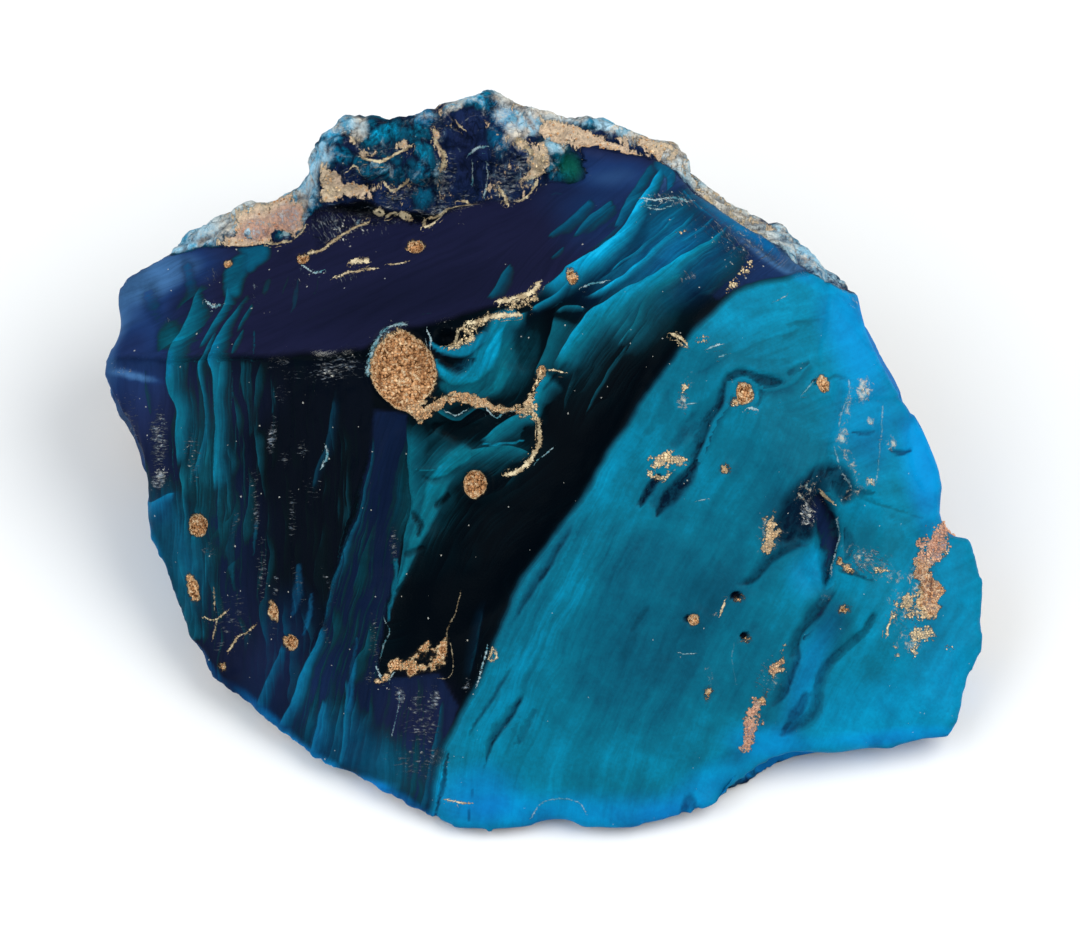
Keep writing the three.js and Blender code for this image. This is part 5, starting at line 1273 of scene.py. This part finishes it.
        # weathered rind: along the crest, and all over the back and the undercut sides
        places, spots, tones = self.places, self.spots, self.tones
        border = np.array(rindBorder)
        overBorder = spots[:, 1] - np.interp(spots[:, 0], border[:, 0], border[:, 1])
        crest = easeStep(-0.25, 0.25, overBorder) * (spots[:, 0] < 30)
        back = easeStep(-0.26, -0.46, self.facing + 0.12 * noiseAt(places, 5, 7.7))
        self.rind = rind = np.maximum(crest, back)
        self.rough = rough = easeStep(-0.3, 0.3, depthInside(spots, rindRough))
        self.bigLumps = bigLumps = lumpsAt(places, 3.6, 18.4)
        self.smallLumps = smallLumps = lumpsAt(places, 1.5, 8.2)
        behind = np.where(back > crest, 1.0, 0.0)
        own = self.noTones()
        own["ink"] += 0.8 - 0.4 * behind
        own["blue"] += 0.75
        patchy = 0.5 * noiseAt(places, 5, 21.3) * behind
        own["teal"] += 0.06 + 0.24 * behind + (0.1 + 0.35 * behind) * bigLumps + patchy
        own["azure"] += 0.3 + 0.5 * noiseAt(places, 6, 12.9) * behind
        own["haze"] += 0.08 * (1 - behind)
        own["haze"] += (0.16 + 0.5 * noiseAt(places, 4, 2.2) + 0.2 * smallLumps) * behind
        addTones(own, spots, rindSpots)
        own["azure"] *= 0.55 + 0.45 * behind
        own["rust"] += back * np.clip(1.6 * noiseAt(places, 6, 31.0), 0, 1)
        creases = 0.9 * (0.35 - bigLumps) + 0.7 * (0.3 - smallLumps)
        backSand = -0.1 + 1.5 * noiseAt(places, 7, 9.1) + 1.0 * noiseAt(places, 2.6, 4.4) + 1.3 * creases
        crestSand = own["sand"] * 1.8 - 1.05 + 0.9 * noiseAt(places, 1.8, 14.4) + 1.3 * creases
        ownSand = np.where(back > crest, backSand, crestSand)

        # seams run on over the crest with their own colour
        seamSand = np.where(crest > back, self.sand, -3)
        tones["rust"] *= np.where(seamSand > -0.3, 1, 1 - rind)
        own["rust"] = np.where(seamSand > -0.3, tones["rust"], own["rust"])
        for name in ("ink", "blue", "teal", "azure", "haze", "rust", "green", "curtain"):
            blend(tones[name], own[name], rind)
        tones["haze"] += rough * (0.04 - tones["haze"]) * 0.8
        tones["glint"] = np.maximum(tones["glint"], 0.3 * rough)
        tones["sand"] = np.where(rind > 0.5, np.maximum(ownSand, seamSand), self.sand)
        tones["crust"] = np.maximum(rind, 0.85 * rough)
        # painted shade in the creases between the rind's lumps
        creviceShade = np.maximum(0.8 * easeStep(0.14, 0, bigLumps), 0.6 * easeStep(0.12, 0, smallLumps)) * rind
        self.cut["side"] = np.where(creviceShade > self.cut["body"], 1, self.cut["side"])
        self.cut["body"] = np.maximum(self.cut["body"] * (1 - rind), creviceShade)
        for sheet in self.sheets:
            sheet["body"] *= 1 - rind
        blend(self.flow[:, :2], spots, easeStep(0, 0.5, crest)[:, None])

    def noiseOnFlow(self, width, length, layer):
        # noise that is long and thin along the flow
        sheet = np.full(self.count, layer)
        spots = np.stack((self.flow[:, 0] / width, self.flow[:, 1] / length, sheet), axis=1)
        return noiseAt(spots, 1)

    def raiseHeight(self):
        # a little unevenness everywhere, ridges, ripples and knobbly rind
        places, masks, height = self.places, self.masks, self.height
        bare = 1 - self.rind
        calm = 1 - 0.7 * masks["top"] * bare - 0.45 * self.bright * bare
        for size, rise in stone["wobble"]:
            height += noiseAt(places, size, size * 3.7) * rise * calm
        lumpy = np.maximum(self.rind, 0.6 * self.rough)
        bigRise = (self.bigLumps**0.6 - 0.6) * stone["bigLumpHeight"] * lumpy
        height += bigRise + (self.smallLumps**0.6 - 0.6) * stone["smallLumpHeight"] * lumpy
        height += (lumpsAt(places, 0.75, 3.3) - 0.4) * stone["tinyLumpHeight"] * lumpy
        low = self.spots[:, 1]
        chipped = np.clip(masks["left"] * easeStep(11, 4, low) + masks["fan"] * easeStep(-17, -22, low), 0, 1)
        chips = lumpsAt(places * np.array((1.5, 1, 1)), 1.9, 5.7) - 0.4
        height += chips * stone["chipHeight"] * chipped * bare
        ridges, fineRidges = self.noiseOnFlow(1.1, 11, 0.0), self.noiseOnFlow(0.45, 5, 4.0)
        leftRidges = ridges * stone["ridgeHeight"] + fineRidges * stone["fineRidgeHeight"]
        fanRidges = ridges * stone["fanRidgeHeight"] + fineRidges * stone["fanFineHeight"]
        height += leftRidges * (masks["left"] * bare)
        height += fanRidges * masks["fan"]
        height += self.noiseOnFlow(2.2, 9, 8.0) * stone["rippleHeight"] * self.bright * bare
        for middle, halfSizes, depth, *turn in dents:
            height -= ovalOn(self.spots, middle, halfSizes, *turn, soft=0.7) * depth
        sandy = easeStep(-0.05, 0.25, self.tones["sand"])
        coarse, fine = noiseAt(places, 0.7, 6.6), noiseAt(places, 0.35, 1.6)
        height += sandy * (coarse * stone["grainHeight"] + fine * stone["fineGrainHeight"])
        height *= 1 - easeStep(0.9, 0.2, places[:, 2])  # the underside stays flat


def storeColours(mesh, name, channels):
    layer = mesh.color_attributes.new(name, "FLOAT_COLOR", "POINT")
    layer.data.foreach_set("color", np.stack(channels, axis=1).astype(np.float32).ravel())


def makeStoneMesh():
    mesh = roundedCopy()
    triangles = sum(len(polygon.vertices) - 2 for polygon in mesh.polygons)
    print("stone skin made,", len(mesh.vertices), "points,", triangles, "triangles")
    places, normals = placesAndNormals(mesh)
    drawing = Drawing(places, normals)
    places += normals * drawing.height[:, None]
    places[:, 2] = np.maximum(places[:, 2], 0)
    mesh.vertices.foreach_set("co", (places * mm).ravel())
    ranges = {"blue": (0, 2), "sand": (-3, 3), "rust": (-1, 1)}
    tones = {name: np.clip(tone, *ranges.get(name, (0, 1))) for name, tone in drawing.tones.items()}
    storeColours(mesh, "glassTones", [tones[name] for name in ("teal", "azure", "ink", "blue")])
    storeColours(mesh, "coverTones", [tones[name] for name in ("sand", "haze", "rust", "glint")])
    storeColours(mesh, "cutAndShadeTones", [drawing.cut["body"], drawing.cut["side"], tones["crust"], tones["ticks"]])
    storeColours(mesh, "threadSides", [sheet["side"] for sheet in drawing.threads] + [tones["rim"]])
    storeColours(mesh, "threadLight", [sheet["body"] for sheet in drawing.threads] + [np.ones(len(places))])
    storeColours(mesh, "foldLight", [sheet["body"] for sheet in drawing.sheets] + [tones["curtain"]])
    storeColours(mesh, "foldEdges", [sheet["side"] for sheet in drawing.sheets] + [tones["green"]])
    layer = mesh.attributes.new("flow", "FLOAT_VECTOR", "POINT")
    layer.data.foreach_set("vector", drawing.flow.astype(np.float32).ravel())
    mesh.polygons.foreach_set("use_smooth", np.ones(len(mesh.polygons), bool))
    mesh.update()
    return mesh


# ---- the stone's finish
finish = {
    # the violet is the dark glass's own tone, and on the top face partly a painted sheen reflecting the room
    "violetInkAndSheen": "#1c1b36", "blueInk": "#182f5a", "milkyInk": "#426e9e", "blackGlass": "#01050a",
    "tealSteps": [(0, "#01050a"), (0.14, "#020e14"), (0.3, "#062c37"), (0.46, "#084453"), (0.62, "#085a6a"),
                  (0.76, "#06708a"), (0.88, "#0586a8"), (1, "#12a6cc")],
    "azure": ["#0a70b4", "#0683c2"],
    "azureShade": "#0a2c58",
    "green": "#0c5f4c",
    "haze": ["#b4daec", "#dad2c2", "#4aa4c6"],
    "crumbs": ["#8fb0b2", "#cdbfa6"],
    "sparks": ["#b9c4c8", "#c9bfa8"],
    "ticks": ["#62707e", "#bdbfbe"],
    "sandThread": ["#d8c8a4", "#9a8768"],
    "chipThread": ["#4f8a98", "#a9c0c4"],
    "sand": [(0, "#3a2414"), (0.25, "#7c5434"), (0.5, "#bb8a5e"), (0.72, "#d8ae82"), (1, "#f0d8b2")],
    "rust": "#c08e7c",
    "cream": "#dccca2",
    "creamShade": "#8d7a55",
    "pale": "#f9e1c8",
    # painted shadow round the sand
    "sandEdgeShadow": "#2a2620",
    "bands": [(0.55, 3, 0.8), (1.5, 17, 0.5), (3.3, 41, 0.42)],  # how many a millimetre, seed and strength
    "gloss": 0.012,
    "glassRoughness": 0.3,
    "hazeRoughness": 0.62,
    "sandRoughness": 0.95,
    "bumpDepth": 0.8 * mm,
}


def readDrawing(s):
    # what is drawn on the stone, its place and flow, and the noises that several layers share
    s.teal, s.azure, s.ink, s.blue = s.channels("glassTones")
    s.sand, s.haze, s.rust, s.glint = s.channels("coverTones")
    s.cut, s.cutSide, s.crust, s.ticks = s.channels("cutAndShadeTones")
    *s.foldLight, s.curtain = s.channels("foldLight")
    *s.foldSides, s.green = s.channels("foldEdges")
    *s.threadSides, s.rim = s.channels("threadSides")
    s.flow = s.add("Attribute", {"attribute_name": "flow"}).outputs["Vector"]
    s.place = s.millimetres()
    s.streaks = s.noise(s.stretched(s.flow, 1.9, 0.13, 5), 1, 4, 0.6, 0.2)
    s.hairs = s.noise(s.stretched(s.flow, 7, 0.4, 9), 1, 3, 0.6)
    s.mottle = s.noise(s.place, 0.9, 5, 0.62)
    s.fine = s.noise(s.place, 3.4, 3, 0.6)
    s.clouds = s.noise(s.place, 0.13, 4, 0.55, 0.8)
    grit = s.noise(s.stretched(s.flow, 1.5, 0.8, 21), 1, 6, 0.72, 0.4)
    around = s.add("SeparateXYZ", Vector=s.flow).outputs["Z"]
    s.grit = s.timesPlus(around, s.less(s.noise(s.place, 1.1, 6, 0.72, 0.4), grit), grit)


def lightGlass(s):
    # the soft body of the glass, the folds with their crisp edges, and curtains crisp on one side
    sheets = [s.times(light, s.spread(side, -0.05, 0.06)) for light, side in zip(s.foldLight, s.foldSides)]
    bands = [s.times(s.bands(s.flow, perMillimetre, seed), strength)
             for perMillimetre, seed, strength in finish["bands"]]
    # dark of the gashes and pits, which carries painted shade in their hollows, at the foot of ledges and in
    # the rind's creases
    dark = s.times(s.cut, s.spread(s.cutSide, -0.1, 0.2))
    s.dark = s.times(dark, s.spread(s.grit, 0.38, 0.56, 1.12, 0.72), clamp=True)
    lit = s.times(s.highest(s.teal, *sheets), s.less(1, s.dark))
    room = s.timesPlus(lit, -0.72, 1)
    lit = s.timesPlus(s.times(s.highest(*bands), s.curtain), room, lit)
    wild = s.timesPlus(s.math("POWER", s.curtain, 0.7), 0.9, 0.1)
    vary = s.sway(s.hairs, 0.7, s.times(s.less(s.streaks, 0.5), 1.3))
    vary = s.timesPlus(vary, wild, 1)
    broad = s.noise(s.stretched(s.flow, 0.55, 0.07), 1, 3, 0.55, 0.3)
    for wave, amount in ((broad, 0.45), (s.mottle, 0.3), (s.fine, 0.2), (s.clouds, 0.55)):
        vary = s.sway(wave, amount, vary)
    lit = s.times(lit, vary, clamp=True)
    patchy = s.less(s.spread(s.grit, 0.36, 0.62, 0.56, 1.08), 1)
    s.lit = s.times(lit, s.timesPlus(patchy, s.crust, 1), clamp=True)


def glassColour(s):
    blackGlass = finish["blackGlass"]
    deep = s.mix(s.blue, finish["violetInkAndSheen"], finish["blueInk"])
    deep = s.mix(s.spread(s.blue, 0.9, 2, 0, 0.9), deep, finish["milkyInk"])
    deep = s.mix(s.ink, blackGlass, deep)
    deep = s.mix(s.times(s.spread(s.streaks, 0.4, 0.7), 0.45), deep, s.mix(0.5, deep, blackGlass))
    # that dark, painted shade included, also darkens the deep glass
    deep = s.mix(s.times(s.dark, 0.45), deep, blackGlass)
    deep = s.mix(s.times(s.crust, s.spread(s.grit, 0.54, 0.4, 0, 0.5)), deep, blackGlass)
    azure = s.mix(s.spread(s.clouds, 0.4, 0.6), *finish["azure"])
    azure = s.mix(s.spread(s.lit, 0.1, 0.95), finish["azureShade"], azure)
    glass = s.mix(s.azure, s.ramp(s.lit, finish["tealSteps"]), azure)
    glass = s.mix(1, s.mix(s.spread(s.lit, 0.1, 0.5), deep, "#000000"), glass, "LIGHTEN")
    return s.mix(s.times(s.green, 0.9), glass, finish["green"])


def addBloom(s, glass):
    # worn, chalky skin: in crumbs on the glass and in patches on the rind
    crumbled = s.noise(s.place, 1.7, 5, 0.78, 0.6)
    crumbled = s.spread(s.timesPlus(s.haze, 0.3, crumbled), 0.64, 0.8, 0, 0.62)
    crumbled = s.times(crumbled, s.spread(s.haze, 0.03, 0.25))
    bloomed = s.spread(s.timesPlus(s.haze, 0.48, s.noise(s.place, 0.75, 6, 0.74, 0.6)), 0.59, 0.88)
    grain = s.spread(s.math("ADD", s.times(s.mottle, 0.6), s.fine), 0.62, 0.98)
    bloomed = s.times(bloomed, s.timesPlus(grain, 0.35, 0.65), clamp=True)
    bloomed = s.times(bloomed, s.timesPlus(s.dark, -0.85, 1))
    s.bloomed = s.timesPlus(s.less(bloomed, crumbled), s.crust, crumbled, clamp=True)
    paleBlue, paleTan, clearBlue = finish["haze"]
    colour = s.mix(s.spread(s.noise(s.place, 0.35, 5, 0.7, 0.5), 0.46, 0.58), paleBlue, paleTan)
    colour = s.mix(s.spread(s.noise(s.place, 0.5, 5, 0.7, 0.4), 0.52, 0.62, 0, 0.8), colour, clearBlue)
    colour = s.mix(s.times(s.spread(s.lit, 0.2, 0.8), s.times(s.crust, 0.35)), colour, clearBlue)
    colour = s.mix(s.times(s.rust, -1.2, clamp=True), colour, paleTan)
    colour = s.mix(s.crust, s.mix(s.spread(s.fine, 0.4, 0.6), *finish["crumbs"]), colour)
    return s.mix(s.bloomed, glass, colour)


def addSparks(s, glass):
    # painted glints and chipped places, and pale specks strewn over all the glass
    wave = s.noise(s.stretched(s.flow, 2.2, 3.6, 13), 1, 3, 0.65, 0.6)
    sparks = s.spread(s.timesPlus(s.glint, 0.26, wave), 0.78, 0.86)
    sparks = s.times(sparks, s.spread(s.glint, 0.02, 0.2))
    dots = s.add("TexVoronoi", Vector=s.bent(s.place, 5, 0.16), Scale=1.1)
    chance = s.add("SeparateColor", Color=dots.outputs["Color"]).outputs[0]
    size = s.spread(s.math("FRACT", s.times(chance, 7)), 0.3, 1, 0, 0.09)
    size = s.times(size, s.spread(s.lit, 0.6, 0.3, 0.55, 1))
    specks = s.math("LESS_THAN", dots.outputs["Distance"], size)
    sparks = s.highest(sparks, s.times(specks, 0.6))
    return s.mix(s.times(sparks, 0.8), glass, s.mix(s.mottle, *finish["sparks"]))


def addCracks(s, glass):
    where = s.bent(s.place, 1.1, 0.9)
    cracks = s.add("TexVoronoi", {"feature": "DISTANCE_TO_EDGE"}, Vector=where, Scale=0.8)
    creased = s.times(s.spread(cracks.outputs["Distance"], 0.06, 0), s.times(s.crust, 0.6))
    return s.mix(s.times(creased, s.spread(s.mottle, 0.4, 0.6)), glass, finish["blackGlass"])


def addTicks(s, glass):
    wave = s.noise(s.stretched(s.flow, 1.4, 4.8, 31), 1, 4, 0.7, 0.5)
    ticked = s.spread(s.timesPlus(s.ticks, 0.24, wave), 0.66, 0.84)
    s.ticked = s.times(ticked, s.spread(s.ticks, 0.05, 0.3))
    return s.mix(s.times(s.ticked, 0.76), glass, s.mix(s.spread(s.fine, 0.44, 0.7), *finish["ticks"]))


def addThreads(s, glass):
    # thin lines, broken up along their length
    crumbs = s.noise(s.place, 8, 2, 0.6)
    threads = []
    for side, light in zip(s.threadSides, s.channels("threadLight")):
        broken = s.sway(crumbs, 2.6, s.sway(s.fine, 3.4, s.math("ABSOLUTE", side)))
        broken = s.timesPlus(light, -0.9, s.math("ADD", broken, 0.9))
        threads.append(s.times(s.spread(broken, 1.25, 0.6), s.spread(light, 0.3, 0.5)))
    *sandSheets, chips = threads
    sand = s.highest(*sandSheets)
    s.threaded = s.highest(sand, chips)
    glass = s.mix(s.times(sand, 0.9), glass, s.mix(s.spread(s.mottle, 0.4, 0.6), *finish["sandThread"]))
    return s.mix(s.times(chips, 0.7), glass, s.mix(s.spread(s.mottle, 0.38, 0.6), *finish["chipThread"]))


def addSand(s, glass):
    # sand with a ragged edge, a cream rim inside it and a painted shadow, a dark line, just outside it
    s.dusty = s.math("ABSOLUTE", s.rust)
    ragged = s.sway(s.fine, 0.8, s.sway(s.noise(s.place, 1.3, 5, 0.7), 1.3, s.sand))
    gaps = s.times(s.less(s.noise(s.place, 2.6, 4, 0.75, 0.5), 0.54), s.dusty)
    ragged = s.timesPlus(gaps, s.timesPlus(s.crust, -2.8, 4), ragged)
    ragged = s.timesPlus(s.times(s.less(s.grit, 0.5), s.crust), 6.5, ragged)
    worn = s.times(s.spread(s.noise(s.place, 1.5, 5, 0.75), 0.56, 0.4), s.dusty)
    s.covered = s.times(s.spread(ragged, -0.06, 0.16), s.timesPlus(worn, -0.6, 1))
    s.pebbles = s.noise(s.place, 3, 4, 0.62, 0.6)
    colour = s.ramp(s.sway(s.mottle, 0.5, s.spread(s.pebbles, 0.3, 0.68)), finish["sand"])
    colour = s.mix(s.times(s.crust, 0.55), colour, finish["pale"])
    colour = s.mix(s.times(s.dusty, 0.5), colour, finish["pale"])
    colour = s.mix(s.spread(s.rust, 0, 1, 0, 0.8), colour, finish["rust"])
    cream = s.mix(s.spread(s.fine, 0.3, 0.6), finish["creamShade"], finish["cream"])
    colour = s.mix(s.times(s.times(s.rust, -1, clamp=True), 0.75), colour, cream)
    rim = s.times(s.spread(ragged, 0, 0.08), s.spread(ragged, 0.3, 0.14))
    colour = s.mix(s.times(rim, 0.5), colour, finish["cream"])
    # painted shadow along the outside of the sand's edge
    edge = s.times(s.spread(ragged, -0.3, 0.02), s.less(1, s.covered))
    glass = s.mix(s.times(edge, s.timesPlus(s.dusty, -0.4, 0.4)), glass, finish["sandEdgeShadow"])
    return s.mix(s.covered, glass, colour)


def setRoughness(s):
    glass, haze = finish["glassRoughness"], finish["hazeRoughness"]
    rough = s.sway(s.fine, 0.12, s.timesPlus(s.bloomed, haze - glass, glass))
    rough = s.timesPlus(s.rim, 0.3, rough)
    node = s.add("Mix", {"data_type": "FLOAT"})
    s.put(s.covered, node.inputs[0])
    s.put(rough, node.inputs[2])
    s.put(finish["sandRoughness"], node.inputs[3])
    s.set("Roughness", node.outputs[0])


def setRelief(s):
    relief = s.math("ADD", s.times(s.hairs, 0.05), s.times(s.streaks, 0.12))
    relief = s.times(relief, s.timesPlus(s.curtain, 1.4, 0.12))
    relief = s.math("ADD", relief, s.times(s.fine, s.timesPlus(s.bloomed, 0.16, 0.03)))
    sandy = s.times(s.covered, s.timesPlus(s.dusty, -0.2, 0.34))
    grains = s.timesPlus(s.pebbles, 2.2, s.noise(s.place, 5.5, 3, 0.7))
    relief = s.math("ADD", relief, s.times(grains, sandy))
    relief = s.math("ADD", relief, s.times(s.times(s.grit, s.crust), 0.5))
    relief = s.timesPlus(s.highest(s.threaded, s.ticked), 0.12, relief)
    s.bump(relief, 1, finish["bumpDepth"])


def stoneMaterial():
    s = Shading("turquoise glassy stone")
    readDrawing(s)
    lightGlass(s)
    colour = glassColour(s)
    for addLayer in (addBloom, addSparks, addCracks, addTicks, addThreads, addSand):
        colour = addLayer(s, colour)
    s.set("Base Color", colour)
    setRoughness(s)
    setRelief(s)
    s.set("IOR", 1.5)
    s.set("Specular IOR Level", finish["gloss"])
    return s.material


stoneObject = putInScene("turquoise_stone", makeStoneMesh())
stoneObject.data.materials.append(stoneMaterial())
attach(stoneObject, "root")
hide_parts("stone")
print("stone made")

# ---- grains of sand that stand proud of the plugs, seams and patches
grains = {
    "plugs": (0.38, 0.9),  # how far apart in millimetres, and the grains' scale
    "seams": (0.32, 0.55),
    "crest": (0.8, 0.62),
    "back": (0.62, 1.05),
    "size": (0.12, 0.26),
    "flatten": 0.6,
    "sunk": 0.15,
    "shownFacing": 0.15,
    "seamFacing": 0.45,
    "plugSand": 0.9,  # grains lie where the sand's tone is above this, and the next three alike
    "seamSand": 0.12,
    "crestSand": 0.4,
    "backSand": 0.3,
    "floorGap": 0.6,
    "colours": [(0, "#4a2f1e"), (0.3, "#8a5f3a"), (0.48, "#bd8a5c"), (0.64, "#d2a577"), (0.82, "#e6d0a8")],
    "roughness": 0.9,
    "gloss": 0.25,
    "batch": 150,
    "seed": 4,
}


def grainSpots(places, mask, spacing, scale):
    # one spot out of each small cell of the grid, in a mixed order, and how big its grain is
    spots = list(np.nonzero(mask)[0])
    random.shuffle(spots)
    cells = {tuple(np.floor(places[spot] / spacing).astype(int)): spot for spot in spots}
    return [(spot, scale) for spot in cells.values()]


def makeHeap(picked, places, normals):
    heap = bmesh.new()
    for spot, scale in picked:
        size = random.uniform(*grains["size"]) * scale
        shape = Matrix.Diagonal((size, size * random.uniform(0.6, 1), size * grains["flatten"], 1))
        turn = Matrix.Rotation(random.uniform(0, math.tau), 4, Vector((random.random(), random.random(), 1)))
        stand = Vector(normals[spot]).to_track_quat("Z", "Y").to_matrix().to_4x4()
        middle = Matrix.Translation(Vector(places[spot] + normals[spot] * size * grains["sunk"]))
        matrix = Matrix.Scale(mm, 4) @ middle @ stand @ turn @ shape
        bmesh.ops.create_icosphere(heap, subdivisions=1, radius=1, matrix=matrix)
    return meshFrom(heap, "heap")


def makeGrainMesh(stoneMesh):
    random.seed(grains["seed"])
    places, normals = placesAndNormals(stoneMesh)
    cover, cut = np.empty((2, len(places) * 4), np.float32)
    stoneMesh.color_attributes["coverTones"].data.foreach_get("color", cover)
    stoneMesh.color_attributes["cutAndShadeTones"].data.foreach_get("color", cut)
    cover = cover.reshape(-1, 4)
    sand = cover[:, 0]
    crusty = cut.reshape(-1, 4)[:, 2] > 0.5
    facing = normals @ towardWay
    shown = facing > grains["shownFacing"]
    glassy = shown & ~crusty
    plugs = glassy & (sand > grains["plugSand"])
    seams = glassy & ~plugs & (sand > grains["seamSand"]) & (facing > grains["seamFacing"])
    crest = shown & crusty & (sand > grains["crestSand"])
    back = ~shown & (sand > grains["backSand"]) & (places[:, 2] > grains["floorGap"])
    picked = []
    for name, mask in (("plugs", plugs), ("seams", seams), ("crest", crest), ("back", back)):
        picked += grainSpots(places, mask, *grains[name])
    form = bmesh.new()
    for start in range(0, len(picked), grains["batch"]):
        heap = makeHeap(picked[start:start + grains["batch"]], places, normals)
        form.from_mesh(heap)
        bpy.data.meshes.remove(heap)
    for face in form.faces:
        face.smooth = True
    mesh = meshFrom(form, "sand grains")
    tone = np.repeat(cover[[spot for spot, _ in picked], 2], len(mesh.vertices) // len(picked))
    storeColours(mesh, "grainTone", [tone, tone, tone, np.ones(len(tone))])
    print(len(picked), "sand grains,", len(mesh.polygons), "triangles")
    return mesh


def grainMaterial():
    s = Shading("rind sand grains")
    place = s.millimetres()
    rust = s.channels("grainTone")[0]
    tone = s.sway(s.noise(place, 2.3, 1), 1.2, s.noise(place, 0.5, 2))
    paint = s.mix(s.spread(rust, 0, 1, 0, 0.7), s.ramp(tone, grains["colours"]), finish["rust"])
    paint = s.mix(s.spread(s.times(rust, -1), 0, 1, 0, 0.7), paint, finish["cream"])
    s.set("Base Color", paint)
    s.bump(s.noise(place, 9, 2), 0.5, 0.1 * mm)
    s.set("Roughness", grains["roughness"])
    s.set("Specular IOR Level", grains["gloss"])
    return s.material


grainObject = putInScene("sand_grains", makeGrainMesh(stoneObject.data))
grainObject.data.materials.append(grainMaterial())
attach(grainObject, "root")
print("sand grains made")
